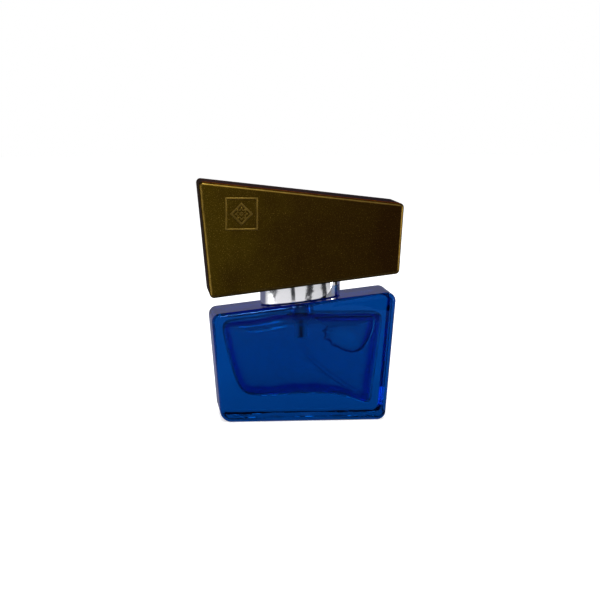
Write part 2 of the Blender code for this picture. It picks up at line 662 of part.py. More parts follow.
def make_actuator(parts, cutters, joint, plastic, metal):
    """The pushed button, with heights from its foot: a plastic core in a metal sleeve, and a nozzle in front."""
    sleeve_bore = ACTUATOR_RADIUS - SLEEVE_WALL
    sleeve = [
        (0, ACTUATOR_HEIGHT),
        (ACTUATOR_RADIUS - SLEEVE_EDGE, ACTUATOR_HEIGHT),
        (ACTUATOR_RADIUS - 0.3 * SLEEVE_EDGE, ACTUATOR_HEIGHT - 0.3 * SLEEVE_EDGE),
        (ACTUATOR_RADIUS, ACTUATOR_HEIGHT - SLEEVE_EDGE),
        (ACTUATOR_RADIUS, 0),
        (sleeve_bore, 0),
        (sleeve_bore, ACTUATOR_HEIGHT - SLEEVE_EDGE),
        (sleeve_bore - SLEEVE_EDGE + SLEEVE_WALL, ACTUATOR_HEIGHT - SLEEVE_WALL),
        (0, ACTUATOR_HEIGHT - SLEEVE_WALL),
    ]
    core_radius = sleeve_bore - SEAT
    core_top = ACTUATOR_HEIGHT - SLEEVE_WALL - SEAT
    recess_top = GUIDE_TOP - ACTUATOR_BOTTOM + STROKE + SEAT
    stem_socket_top = STEM_TOP - ACTUATOR_BOTTOM + SEAT
    nozzle_height = ACTUATOR_HEIGHT - NOZZLE_BELOW_TOP
    core = [
        (0, core_top),
        (core_radius - SLEEVE_EDGE, core_top),
        (core_radius, core_top - SLEEVE_EDGE),
        (core_radius, SEAT),
        (GUIDE_RADIUS + 2 * SEAT, SEAT),
        (GUIDE_RADIUS + 2 * SEAT, recess_top),
        (STEM_RADIUS + RUN, recess_top),
        (STEM_RADIUS + RUN, stem_socket_top),
        (CHANNEL_RADIUS, stem_socket_top),
        (CHANNEL_RADIUS, nozzle_height),
        (0, nozzle_height),
    ]
    foot = (0, 0, 0)
    shell = turned("actuator_sleeve", sleeve, WIDE_STEPS, parts, foot, metal, joint)
    button = turned("actuator_core", core, WIDE_STEPS, parts, foot, plastic, joint)

    nozzle_face = ACTUATOR_RADIUS + RUN
    place = (0, -nozzle_face, nozzle_height)
    forwards = (math.radians(90), 0, 0)
    pocket_radius = NOZZLE_RADIUS + RUN
    pocket_bottom = -NOZZLE_LENGTH - SEAT
    pocket_profile = rod_profile(pocket_radius, pocket_bottom, OVERLAP)
    pocket = turned_cutter("nozzle pocket", pocket_profile, NARROW_STEPS, cutters, place, joint)
    channel_profile = rod_profile(CHANNEL_RADIUS, -nozzle_face, OVERLAP)
    channel = turned_cutter("spray channel", channel_profile, NARROW_STEPS, cutters, place, joint)
    nozzle = [
        (2 * ORIFICE_RADIUS, 0),
        (NOZZLE_RADIUS, 0),
        (NOZZLE_RADIUS, -NOZZLE_LENGTH),
        (NOZZLE_RADIUS / 2, -NOZZLE_LENGTH),
        (NOZZLE_RADIUS / 2, -NOZZLE_LENGTH / 2),
        (ORIFICE_RADIUS, -NOZZLE_LENGTH / 2),
        (ORIFICE_RADIUS, -ORIFICE_RADIUS),
    ]
    insert = turned("nozzle_insert", nozzle, NARROW_STEPS, parts, place, plastic, joint)
    for item in (pocket, channel, insert):
        item.rotation_euler = forwards
    add_boolean(shell, "DIFFERENCE", pocket)
    add_boolean(button, "DIFFERENCE", pocket)
    add_boolean(button, "DIFFERENCE", channel)


def make_collar(parts, cutters, metal, plastic):
    """The oval collar with its round chimney, and the cored-out liner that holds it on the ferrule."""
    rim = (0, 0, NECK_RIM_Z)
    inner_width = COLLAR_HALF_WIDTH - COLLAR_WALL
    inner_depth = COLLAR_HALF_DEPTH - COLLAR_WALL
    edge = COLLAR_EDGE
    chimney_radius = CHIMNEY_BORE_RADIUS + COLLAR_WALL
    chimney_foot = [circle(CHIMNEY_BORE_RADIUS, SHOULDER_BOTTOM)]
    if HAS_LEDGE:
        chimney_foot = [
            circle(CHIMNEY_BORE_RADIUS, SHOULDER_TOP),
            circle(FERRULE_FLAT_RADIUS, SHOULDER_TOP),
            circle(FERRULE_FLAT_RADIUS, SHOULDER_BOTTOM),
        ]
    shell_rings = [
        oval(COLLAR_HALF_WIDTH, COLLAR_HALF_DEPTH, collar_foot),
        oval(COLLAR_HALF_WIDTH, COLLAR_HALF_DEPTH, SHOULDER_TOP - edge),
        oval(COLLAR_HALF_WIDTH - 0.3 * edge, COLLAR_HALF_DEPTH - 0.3 * edge, SHOULDER_TOP - 0.3 * edge),
        oval(COLLAR_HALF_WIDTH - edge, COLLAR_HALF_DEPTH - edge, SHOULDER_TOP),
        circle(chimney_radius, SHOULDER_TOP),
        circle(chimney_radius, CHIMNEY_TOP),
        circle(CHIMNEY_BORE_RADIUS, CHIMNEY_TOP),
        *chimney_foot,
        oval(inner_width - edge, inner_depth - edge, SHOULDER_BOTTOM),
        oval(inner_width, inner_depth, SHOULDER_BOTTOM - edge),
        oval(inner_width, inner_depth, collar_foot),
    ]
    new_object("collar_shell", loft_mesh("collar_shell", shell_rings, tube=True), parts, rim, metal)
    liner_width = inner_width - SEAT
    liner_depth = inner_depth - SEAT
    liner_top = SHOULDER_BOTTOM - SEAT - edge
    liner_rings = [
        oval(liner_width, liner_depth, collar_foot),
        oval(liner_width, liner_depth, liner_top),
        circle(FERRULE_RADIUS + SEAT, liner_top),
        circle(FERRULE_RADIUS + SEAT, collar_foot),
    ]
    liner = new_object("collar_liner", loft_mesh("collar_liner", liner_rings, tube=True), parts, rim, plastic)
    pocket_bottom = collar_foot(-liner_width) - OVERLAP
    pocket_top = liner_top - LINER_WALL
    near = FERRULE_RADIUS + SEAT + LINER_WALL
    far = liner_width - LINER_WALL
    for name, left, right in (("left coring", -far, -near), ("right coring", near, far)):
        outline = [(left, pocket_bottom), (right, pocket_bottom), (right, pocket_top), (left, pocket_top)]
        coring = new_cutter(name, wedge_mesh(name, outline, liner_depth * CORING_SHARE), cutters, rim)
        add_boolean(liner, "DIFFERENCE", coring)


def badge_outline(centre, half_size, turned_by):
    """The corners of a square about a centre in XZ, turned by an angle."""
    reach = half_size * math.sqrt(2)
    corners = []
    for index in range(4):
        angle = math.pi / 4 + index * math.pi / 2 + turned_by
        corners.append((centre[0] + reach * math.cos(angle), centre[1] + reach * math.sin(angle)))
    return corners


def badge_ring(name, centre, half_size, turned_by, cutters, joint):
    """A raised square line, as a flat outline with a hole, stood up against the cap's front."""
    data = bpy.data.curves.new(name, "CURVE")
    data.dimensions = "2D"
    data.fill_mode = "BOTH"
    data.extrude = (BADGE_RAISE + OVERLAP) / 2
    for half in (half_size, half_size - BADGE_LINE):
        spline = data.splines.new("POLY")
        spline.points.add(3)
        for point, (x, z) in zip(spline.points, badge_outline(centre, half, turned_by)):
            point.co = (x, z, 0, 1)
        spline.use_cyclic_u = True
    flat = bpy.data.objects.new(f"{name} outline", data)
    cutters.objects.link(flat)
    bpy.context.view_layer.update()
    mesh = bpy.data.meshes.new_from_object(flat.evaluated_get(bpy.context.evaluated_depsgraph_get()))
    shape = bmesh.new()
    shape.from_mesh(mesh)
    bmesh.ops.remove_doubles(shape, verts=shape.verts, dist=0.000001)
    bmesh.ops.recalc_face_normals(shape, faces=shape.faces)
    shape.to_mesh(mesh)
    shape.free()
    bpy.data.objects.remove(flat, do_unlink=True)
    middle = -CAP_HALF_DEPTH - (BADGE_RAISE - OVERLAP) / 2
    item = new_cutter(name, mesh, cutters, (0, middle, 0), joint)
    item.rotation_euler = (math.radians(90), 0, 0)
    return item


def make_cap_shell(parts, cutters, joint, metal):
    outline = wedge_mesh("cap_shell", cap_corners(), CAP_HALF_DEPTH)
    shell = new_object("cap_shell", outline, parts, material=metal, parent=joint)
    add_bevel(shell, CAP_CORNER_RADIUS, 3, by_weight=True)
    add_bevel(shell, CAP_EDGE_RADIUS, 3)
    hollow_mesh = wedge_mesh("cap hollow", cap_corners(CAP_WALL, 2 * OVERLAP), CAP_HALF_DEPTH - CAP_WALL)
    hollow = new_cutter("cap hollow", hollow_mesh, cutters, parent=joint)
    top_left = cap_corners()[3]
    badge_z = top_left[1] - BADGE_FROM_TOP - BADGE_FROM_LEFT * math.tan(CAP_TOP_SLOPE)
    left_edge = CAP_OFFSET - CAP_WIDTH / 2 - badge_z * math.tan(CAP_LEFT_LEAN)
    centre = (left_edge + BADGE_FROM_LEFT, badge_z)
    square = badge_ring("badge square", centre, BADGE_SIZE / 2, 0.0, cutters, joint)
    lozenge_half = (BADGE_SIZE / 2 - BADGE_GAP) / math.sqrt(2)
    lozenge = badge_ring("badge lozenge", centre, lozenge_half, math.pi / 4, cutters, joint)
    add_boolean(shell, "DIFFERENCE", hollow)
    add_boolean(shell, "UNION", square)
    add_boolean(shell, "UNION", lozenge)


def make_cap_insert(parts, cutters, joint, plastic):
    """The moulding inside the cap: a slanted plate that closes it, and an oval cup that grips the collar."""
    inset = CAP_WALL + SEAT
    half_depth = CAP_HALF_DEPTH - inset
    low_line = PLATE_RECESS / math.cos(CAP_BOTTOM_SLOPE)
    high_line = (PLATE_RECESS + PLATE_THICKNESS) / math.cos(CAP_BOTTOM_SLOPE)
    low_left, low_right = cap_corners(inset, -low_line)[:2]
    high_left, high_right = cap_corners(inset, -high_line)[:2]
    plate = wedge_mesh("cap_insert", [low_left, low_right, high_right, high_left], half_depth)
    insert = new_object("cap_insert", plate, parts, material=plastic, parent=joint)

    ceiling = cap_top(CUP_HALF_WIDTH) - CAP_WALL / math.cos(CAP_TOP_SLOPE)
    cup_top = ceiling - CUP_ROOF_GAP
    middle = (low_line + high_line) / 2

    def plate_middle(x):
        return cap_bottom(x) + middle

    edge = 1.5 * CUP_WALL
    cup_rings = [
        oval(CUP_HALF_WIDTH, CUP_HALF_DEPTH, plate_middle),
        oval(CUP_HALF_WIDTH, CUP_HALF_DEPTH, cup_top - edge),
        oval(CUP_HALF_WIDTH - edge, CUP_HALF_DEPTH - edge, cup_top),
    ]
    cup = new_cutter("cup", loft_mesh("cup", cup_rings, tube=False), cutters, parent=joint)
    bore_top = cup_top - CUP_WALL
    bore_edge = edge - CUP_WALL / 2
    bore_bottom = cap_bottom(-CUP_HALF_WIDTH) - OVERLAP
    bore_rings = [
        oval(CUP_BORE_HALF_WIDTH, CUP_BORE_HALF_DEPTH, bore_bottom),
        oval(CUP_BORE_HALF_WIDTH, CUP_BORE_HALF_DEPTH, bore_top - bore_edge),
        oval(CUP_BORE_HALF_WIDTH - bore_edge, CUP_BORE_HALF_DEPTH - bore_edge, bore_top),
    ]
    bore = new_cutter("cup bore", loft_mesh("cup bore", bore_rings, tube=False), cutters, parent=joint)
    add_boolean(insert, "UNION", cup)
    for name, side in (("left rib", -1), ("right rib", 1)):
        near = side * (CUP_HALF_WIDTH - CUP_WALL / 2)
        far = high_right[0] - RIB_END_GAP if side > 0 else high_left[0] + RIB_END_GAP
        outline = [(near, plate_middle(near)), (far, plate_middle(far))]
        outline += [(far, plate_middle(far) + RIB_HEIGHT / 3), (near, plate_middle(near) + RIB_HEIGHT)]
        if side < 0:
            outline = [outline[1], outline[0], outline[3], outline[2]]
        rib = new_cutter(name, wedge_mesh(name, outline, RIB_THICKNESS / 2), cutters, parent=joint)
        add_boolean(insert, "UNION", rib)
    add_boolean(insert, "DIFFERENCE", bore)


def main():
    clear_scene()
    parts = new_collection("aftershave_bottle")
    cutters = new_collection("cutters", hidden=True)

    blue_glass = new_material("blue glass", (0.01, 0.09, 0.45), 0.03, transmission=0.9)
    satin_gold = new_material("satin antique gold", (0.30, 0.20, 0.04), 0.42, metallic=1.0)
    chrome = new_material("bright chrome", (0.80, 0.80, 0.82), 0.06, metallic=1.0)
    aluminium = new_material("crimped aluminium", (0.75, 0.75, 0.76), 0.3, metallic=1.0)
    steel = new_material("spring steel", (0.55, 0.55, 0.57), 0.25, metallic=1.0)
    white_plastic = new_material("natural plastic", (0.80, 0.80, 0.78), 0.4)
    black_plastic = new_material("black plastic", (0.03, 0.03, 0.03), 0.45)
    clear_plastic = new_material("clear tube", (0.90, 0.92, 0.95), 0.15, transmission=0.8)
    rubber = new_material("seal rubber", (0.25, 0.25, 0.27), 0.8)

    make_glass_bottle(parts, cutters, blue_glass)
    make_closure(parts, aluminium, rubber)
    make_pump_body(parts, white_plastic, rubber)
    press = new_joint("button_press", NECK_RIM_Z, parts)
    make_plunger(parts, press, white_plastic)
    make_springs(parts, steel)
    make_ball(parts, steel)
    make_dip_tube(parts, clear_plastic)
    spin = new_joint("actuator_spin", ACTUATOR_BOTTOM, parts, press)
    make_actuator(parts, cutters, spin, white_plastic, chrome)
    make_collar(parts, cutters, chrome, black_plastic)
    lift = new_joint("cap_lift", CAP_DATUM_Z, parts)
    make_cap_shell(parts, cutters, lift, satin_gold)
    make_cap_insert(parts, cutters, lift, black_plastic)


main()
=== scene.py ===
"""Aftershave bottle: fine glass, gold cap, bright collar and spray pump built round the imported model.

Everything is in metres in the model's own frame: the origin is the centre of the flask's base, +X is to the
right seen from the front, +Y to the back and +Z up.
"""

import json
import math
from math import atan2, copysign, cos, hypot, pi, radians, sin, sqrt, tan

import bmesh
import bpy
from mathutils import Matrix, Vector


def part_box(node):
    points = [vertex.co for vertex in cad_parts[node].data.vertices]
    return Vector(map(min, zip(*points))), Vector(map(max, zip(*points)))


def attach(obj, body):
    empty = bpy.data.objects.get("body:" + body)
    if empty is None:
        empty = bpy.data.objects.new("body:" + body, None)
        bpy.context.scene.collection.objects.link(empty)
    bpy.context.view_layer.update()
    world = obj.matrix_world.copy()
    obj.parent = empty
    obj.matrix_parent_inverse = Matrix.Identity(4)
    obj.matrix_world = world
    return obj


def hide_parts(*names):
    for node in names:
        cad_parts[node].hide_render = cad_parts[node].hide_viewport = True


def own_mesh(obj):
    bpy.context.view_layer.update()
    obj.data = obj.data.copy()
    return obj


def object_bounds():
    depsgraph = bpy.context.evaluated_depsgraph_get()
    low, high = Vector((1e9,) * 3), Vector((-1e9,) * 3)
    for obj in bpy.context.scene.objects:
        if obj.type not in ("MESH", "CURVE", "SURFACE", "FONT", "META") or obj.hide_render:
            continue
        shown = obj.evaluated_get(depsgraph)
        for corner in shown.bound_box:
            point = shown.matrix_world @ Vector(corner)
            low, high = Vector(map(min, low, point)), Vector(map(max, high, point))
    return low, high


bl_info = {
    "name": "Aftershave Bottle",
    "version": (1, 0, 0),
    "blender": (4, 5, 0),
    "location": "View3D > Sidebar > Bottle",
    "description": "Builds the flask, cap, collar and spray pump of a wedge-shaped aftershave bottle",
    "category": "Object",
}

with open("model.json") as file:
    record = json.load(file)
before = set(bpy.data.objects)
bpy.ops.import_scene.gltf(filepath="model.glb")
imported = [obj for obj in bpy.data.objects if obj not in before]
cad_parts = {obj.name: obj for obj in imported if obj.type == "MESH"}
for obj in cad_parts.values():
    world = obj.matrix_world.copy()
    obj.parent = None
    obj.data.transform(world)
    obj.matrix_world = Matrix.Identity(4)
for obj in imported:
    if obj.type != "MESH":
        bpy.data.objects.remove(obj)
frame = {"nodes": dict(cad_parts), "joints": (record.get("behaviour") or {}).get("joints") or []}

MM = 0.001
CAD_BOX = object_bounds()
FRONT = -1  # the front faces -Y
OVERLAP = 1.0 * MM  # how far cutters and joined shapes reach past a wall
HAIR = 0.02 * MM  # left between a fine piece and the edge of its model's box
SAME = 0.0005 * MM  # points nearer than this are one


# Settings


def amount(name, description, value, **options):
    return bpy.props.FloatProperty(name=name, description=description, default=value, **options)


def length(name, description, millimetres):
    size = {"min": 0.0, "precision": 5, "subtype": "DISTANCE", "unit": "LENGTH"}
    return amount(name, description, millimetres * MM, **size)


def angle(name, description, degrees):
    return amount(name, description, radians(degrees), subtype="ANGLE", unit="ROTATION")


def share(name, description, value, highest=1.0):
    return amount(name, description, value, min=0.0, max=highest, subtype="FACTOR")


def colour(name, description, value):
    return bpy.props.FloatVectorProperty(
        name=name, description=description, default=value, size=3, min=0.0, max=1.0, subtype="COLOR"
    )


class FlaskSettings(bpy.types.PropertyGroup):
    side_lean: angle("Side lean", "Outward lean of both sides", 4.95)
    top_slope: angle("Top slope", "Rise of the top towards the right", 6.6)
    corner_radius: length("Corner radius", "Radius of three of the outline's corners", 3.5)
    heel_radius: length("Heel radius", "Radius of the lower left corner", 4.8)
    edge_radius: length("Edge radius", "Radius of the edges round the front and back", 2.1)
    face_wall: length("Face wall", "Glass in front of and behind the hollow", 3.5)
    hollow_power: share("Hollow squareness", "Exponent of the hollow's section in depth", 4.0, 20.0)
    neck_radius: length("Neck radius", "Radius of the neck's bead", 7.5)
    neck_waist: length("Neck waist", "How far the neck narrows under its bead", 1.0)
    bead_height: length("Bead height", "Height of the neck's bead", 4.6)
    bore_radius: length("Bore radius", "Radius of the neck's bore", 5.2)
    punt_width: length("Punt width", "Half-width of the hollow under the base", 24.0)
    punt_depth: length("Punt depth", "Half-depth of the hollow under the base", 9.5)
    punt_rise: length("Punt rise", "Rise of the hollow under the base", 1.1)
    coat: colour("Coat", "Colour of the blue lacquer outside", (0.0, 0.060, 0.195))
    body: colour("Glass", "Colour left in light through the glass", (0.05, 0.27, 0.83))
    # Painted shade: this deeper blue on the hollow's sides stands in for the dark bands that light bent
    # through the glass gives there.
    wall: colour("Wall", "Deeper colour gathered along the hollow's sides", (0.0, 0.03, 0.7))
    density: amount("Glass tint strength", "Absorption per metre", 30.0, min=0.0)


class LiquidSettings(bpy.types.PropertyGroup):
    grip: length("Overlap", "How far the liquid reaches into the glass", 0.12)
    tint: colour("Tint", "Colour left in light through the liquid", (0.05, 0.17, 0.64))
    strength: amount("Tint strength", "Absorption per metre", 50.0, min=0.0)
    bubble_depth: length("Bubble depth", "Half-thickness of the air pocket", 2.6)
    bubble_skin: length("Bubble skin", "Liquid between the air pocket and the front wall", 0.35)


class CollarSettings(bpy.types.PropertyGroup):
    power: share("Oval squareness", "Exponent of the oval: 2 is an ellipse", 2.3, 8.0)
    wall: length("Wall", "Thickness of the metal", 0.6)
    edge_radius: length("Edge radius", "Radius round the shoulder", 0.8)
    lip_radius: length("Lip radius", "Radius round the chimney's rim and the foot", 0.18)
    foot_gap: length("Foot gap", "Between the collar's foot and the glass", 0.3)
    metal: colour("Metal", "Colour of the bright plating", (0.80, 0.80, 0.83))


class CapSettings(bpy.types.PropertyGroup):
    left_lean: angle("Left lean", "Outward lean of the left side", 5.4)
    right_lean: angle("Right lean", "Outward lean of the right side", 3.75)
    top_slope: angle("Top slope", "Fall of the top towards the right", 6.55)
    bottom_slope: angle("Bottom slope", "Rise of the lower edge towards the right", 7.0)
    corner_radius: length("Corner radius", "Radius of the outline's corners", 1.8)
    edge_radius: length("Edge radius", "Radius of the edges round the front and back", 1.5)
    wall: length("Wall", "Thickness of the shell", 1.8)
    badge_size: length("Badge size", "Side of the badge's square", 13.3)
    badge_left: length("Badge from left", "Badge's centre to the cap's left edge", 16.2)
    badge_down: length("Badge from top", "Badge's centre down from the cap's top edge", 11.6)
    rosette: length("Rosette", "Radius of the rosette in the badge", 1.9)
    badge_line: length("Badge line", "Width of the badge's raised lines", 0.7)
    gold: colour("Gold", "Colour of the satin gold", (0.062, 0.038, 0.002))
    # Bronze is both a darker tone in the clouds and the painted shade towards the right.
    bronze_and_shade: colour("Bronze", "Darker colour towards the right", (0.027, 0.0112, 0.002))
    # Partly real wear, partly a painted highlight along the edges and the badge; the flake spots use it too.
    worn_and_highlight: colour("Worn gold", "Lighter gold along the edges", (0.30, 0.19, 0.04))
    moulding: colour("Moulding", "Colour of the black inner moulding", (0.018, 0.018, 0.02))


class PumpSettings(bpy.types.PropertyGroup):
    easing: length("Easing", "Radius put on the corners of turned pieces", 0.15)
    dish: length("Dish", "Depth of the finger dish in the button's top", 0.2)
    nozzle_wall: length("Nozzle wall", "Thickness of the nozzle's rim", 0.5)
    orifice: length("Orifice", "Radius of the spray hole", 0.25)
    wire: length("Spring wire", "Diameter of the springs' wire", 0.45)
    stroke: length("Stroke", "How far the button goes down", 4.2)
    tube_radius: length("Tube radius", "Outer radius of the dip tube", 1.2)
    tube_wall: length("Tube wall", "Wall of the dip tube", 0.5)
    tube_tilt: angle("Tube tilt", "Slope of the dip tube's end", 34.5)
    plastic: colour("Plastic", "Colour of the natural plastic", (0.90, 0.90, 0.88))
    aluminium: colour("Aluminium", "Colour of the crimped ferrule", (0.74, 0.74, 0.75))
    steel: colour("Steel", "Colour of the springs and the ball", (0.52, 0.52, 0.54))
    rubber: colour("Rubber", "Colour of the seals", (0.09, 0.09, 0.10))


class StageSettings(bpy.types.PropertyGroup):
    azimuth: angle("Azimuth", "Camera's place round the bottle, from the front", -5.6)
    elevation: angle("Elevation", "Camera's height above the horizon", 6.8)
    distance: length("Distance", "Camera to the point it looks at", 735.0)
    aim_height: length("Aim height", "Height that the camera looks at", 48.8)
    lens: amount("Lens", "Focal length in millimetres on a 36 mm sensor", 105.0, min=1.0)
    floor: colour("Floor", "Colour of the floor", (0.80, 0.80, 0.80))
    air: share("Air", "Strength of the even light from all round", 0.5, 4.0)
    ceiling: share("Ceiling", "Brightness of the ceiling in reflections and through glass", 0.12)
    backdrop: colour("Backdrop", "What reflections show behind the bottle", (0.17, 0.18, 0.30))


# Finishes


class Signal:
    """One socket of a finish's nodes; arithmetic on it adds Math nodes."""

    def __init__(self, nodes, socket):
        self.nodes = nodes
        self.socket = socket

    def math(self, operation, first, second):
        return self.nodes.add("ShaderNodeMath", {"operation": operation}, {0: first, 1: second})

    def __add__(self, other):
        return self.math("ADD", self, other)

    __radd__ = __add__

    def __sub__(self, other):
        return self.math("SUBTRACT", self, other)

    def __rsub__(self, other):
        return self.math("SUBTRACT", other, self)

    def __mul__(self, other):
        return self.math("MULTIPLY", self, other)

    __rmul__ = __mul__

    def at_most(self, other):
        return self.math("MINIMUM", self, other)

    def at_least(self, other):
        return self.math("MAXIMUM", self, other)


class Nodes:
    """A node tree that is being filled."""

    def __init__(self, tree):
        self.tree = tree

    def add(self, kind, settings=None, sockets=None, out=0):
        """A node of a type, with its settings made first and then its sockets given values or links."""
        node = self.tree.nodes.new(kind)
        for name, value in (settings or {}).items():
            if name == "stops":
                self.set_stops(node.color_ramp.elements, value)
            else:
                setattr(node, name, value)
        for name, value in (sockets or {}).items():
            self.plug(node.inputs[name], value)
        return Signal(self, node.outputs[out])

    def set_stops(self, elements, stops):
        while len(elements) < len(stops):
            elements.new(1.0)
        for element, (position, value) in zip(elements, stops):
            element.position = position
            element.color = (value, value, value, 1.0)

    def plug(self, socket, value):
        if isinstance(value, Signal):
            self.tree.links.new(value.socket, socket)
        elif hasattr(value, "__len__") and socket.type == "RGBA" and len(value) == 3:
            socket.default_value = (*value, 1.0)
        else:
            socket.default_value = value

    def place(self, kind="Object"):
        return self.add("ShaderNodeTexCoord", out=kind)

    def along(self, axis, kind="Object"):
        return self.add("ShaderNodeSeparateXYZ", {}, {0: self.place(kind)}, out=axis)

    def mark(self, name):
        """A number stored on the mesh."""
        return self.add("ShaderNodeAttribute", {"attribute_name": name}, out="Fac")

    def noise(self, scale, detail=2.0, roughness=0.5, place=None, stretch=None):
        """Noise from 0 to 1 with a scale per metre; stretch gives each axis its own."""
        spot = place or self.place()
        if stretch:
            spot = self.add("ShaderNodeVectorMath", {"operation": "MULTIPLY"}, {0: spot, 1: stretch})
        sockets = {"Vector": spot, "Scale": scale, "Detail": detail, "Roughness": roughness}
        return self.add("ShaderNodeTexNoise", {}, sockets)

    def ramp(self, signal, *stops):
        return self.add("ShaderNodeValToRGB", {"stops": stops}, {0: signal})

    def blend(self, mask, first, second):
        """A colour that goes from first to second as mask goes from 0 to 1."""
        sockets = {0: mask, 6: first, 7: second}
        return self.add("ShaderNodeMix", {"data_type": "RGBA"}, sockets, out=2)

    def bump(self, height, distance, strength=1.0):
        sockets = {"Height": height, "Distance": distance, "Strength": strength}
        return self.add("ShaderNodeBump", {}, sockets)


class Finish(Nodes):
    """A material whose constants are set on the Principled shader's own sockets."""

    def __init__(self, name, **constants):
        self.material = bpy.data.materials.new(name)
        self.material.use_nodes = True
        super().__init__(self.material.node_tree)
        self.shader = self.tree.nodes["Principled BSDF"]
        self.set(**constants)

    def set(self, **sockets):
        for name, value in sockets.items():
            self.plug(self.shader.inputs[name.replace("_", " ").title().replace("Ior", "IOR")], value)

    def add_absorption(self, tint, density):
        output = self.tree.nodes["Material Output"]
        volume = self.add("ShaderNodeVolumeAbsorption", {}, {"Color": tint, "Density": density})
        self.tree.links.new(volume.socket, output.inputs["Volume"])


def grained(name, tint, shade, grain, roughness, relief, skin=None, stretch=None, **constants):
    """A material that one noise shades from its tint towards a multiple of it, roughens and raises.

    grain and skin are each a noise's scale and detail; skin is for the relief, where that differs.
    """
    finish = Finish(name, **constants)
    noise = finish.noise(*grain, stretch=stretch)
    if tint is not None:
        finish.set(base_color=finish.blend(noise, tint, tuple(shade * value for value in tint)))
    raised = finish.noise(*skin) if skin else noise
    finish.set(roughness=roughness[0] + roughness[1] * noise, normal=finish.bump(raised, relief * MM))
    return finish.material


def blue_glass(settings):
    """Glass with a blue lacquer outside; the blown hollow inside is clear, with softer, deeper waves and a
    painted shade of deeper blue along its sides.
    """
    finish = Finish(
        "blue glass",
        ior=1.5,
        transmission_weight=1.0,
        specular_ior_level=0.3,
        specular_tint=(0.08, 0.2, 0.6),
    )
    inside = finish.mark("inside")
    underside = (1.0 - 250.0 * finish.along("Z")).at_least(0.0)
    moulded = finish.noise(45.0, 1.0) + underside * (5.0 * finish.noise(110.0, 2.0))
    blown = finish.noise(75.0, 1.5) + 0.3 * finish.noise(220.0, 1.0)
    # Painted shade: the hollow's sideways-facing faces are painted a deeper blue in place of the dark bands
    # that refraction gives.
    hollow_colour_and_painted_shade = finish.blend(finish.mark("side"), (0.97, 0.985, 1.0), settings.wall)
    finish.set(
        base_color=finish.blend(inside, settings.coat, hollow_colour_and_painted_shade),
        roughness=(1.0 - inside) * (0.03 * finish.noise(90.0, 3.0)),
        normal=finish.bump((1.0 - inside) * moulded + inside * (4.0 * blown), 0.12 * MM),
    )
    finish.add_absorption(settings.body, settings.density)
    return finish.material


def scent(settings):
    finish = Finish(
        "blue liquid", base_color=(0.96, 0.985, 1.0), ior=1.36, transmission_weight=1.0, roughness=0.0
    )
    finish.set(normal=finish.bump(finish.noise(160.0, 1.0), 0.05 * MM))
    finish.add_absorption(settings.tint, settings.strength)
    return finish.material


def satin_gold(settings):
    """Dark satin gold: cloudy bronze and olive and fine flake, with painted shade darkening it towards the
    right and painted highlights along the edges, which are partly worn lighter.
    """
    finish = Finish("satin antique gold", metallic=1.0, specular_tint=(0.25, 0.14, 0.04))
    clouds = finish.noise(38.0, 4.0, 0.6)
    flake = finish.noise(2600.0, 1.0)
    # Painted shade: the X term darkens the gold towards the right and lightens it towards the left, as the
    # light falls; the clouds are random tone.
    clouds_and_painted_shade = 1.1 * clouds - 8.0 * finish.along("X") - 0.1
    mask = finish.ramp(clouds_and_painted_shade, (0.12, 0.0), (0.5, 0.35), (0.85, 1.0))
    tone_and_painted_shade = finish.blend(mask, settings.bronze_and_shade, settings.gold)
    spots = finish.ramp(flake, (0.60, 0.0), (0.74, 0.8))
    speckled = finish.blend(spots * (0.25 + 0.75 * mask), tone_and_painted_shade, settings.worn_and_highlight)
    edge = finish.mark("edge")
    # The lighter gold on the marked edges and badge is partly wear and partly a painted highlight.
    wear_and_highlight = edge * (0.1 + 0.5 * finish.noise(300.0, 3.0))
    finish.set(
        base_color=finish.blend(wear_and_highlight, speckled, settings.worn_and_highlight),
        roughness=0.34 + 0.12 * finish.noise(500.0, 2.0) - 0.10 * edge,
        normal=finish.bump(flake, 0.012 * MM, 0.6),
    )
    return finish.material


def bright_plate(settings):
    """Bright plating with a little orange peel and handling haze."""
    return grained(
        "bright plating", settings.metal, 0.94, (260.0, 4.0), (0.035, 0.05), 0.01, (420.0, 1.0), metallic=1.0
    )


def drawn_metal(name, tint, roughness, stretch):
    """Metal with fine marks drawn out along one direction."""
    return grained(name, tint, 0.8, (900.0, 3.0), (roughness, 0.14), 0.02, stretch=stretch, metallic=1.0)


def natural_plastic(settings, name="natural plastic", clarity=0.3, ior=1.4):
    """Milky moulded plastic with a faint flow pattern; in liquid its step in refraction is small."""
    return grained(
        name, settings.plastic, 0.9, (180.0, 3.0), (0.3, 0.15), 0.01, (1400.0, 2.0), (1.0, 1.0, 0.3),
        ior=ior, transmission_weight=clarity,
    )


def black_moulding(settings):
    """Black moulded plastic with a fine spark-eroded grain."""
    return grained("black moulding", settings.moulding, 1.7, (2200.0, 2.0), (0.42, 0.16), 0.03, ior=1.5)


def clear_tube():
    """Clear tube in liquid: only its small step in refraction shows."""
    return grained(
        "clear tube", None, 1.0, (500.0, 2.0), (0.03, 0.08), 0.03, stretch=(1.0, 1.0, 0.15),
        base_color=(0.93, 0.96, 1.0), ior=1.09, transmission_weight=1.0,
    )


def seal_rubber(settings):
    return grained("seal rubber", settings.rubber, 1.5, (800.0, 4.0), (0.7, 0.2), 0.04, ior=1.5)


# Mesh tools


def new_mesh(name, shape):
    bmesh.ops.recalc_face_normals(shape, faces=shape.faces)
    mesh = bpy.data.meshes.new(name)
    shape.to_mesh(mesh)
    shape.free()
    mesh.shade_smooth()
    return mesh


def new_object(name, data, material=None):
    item = bpy.data.objects.new(name, data)
    bpy.context.scene.collection.objects.link(item)
    if material:
        data.materials.append(material)
    return item


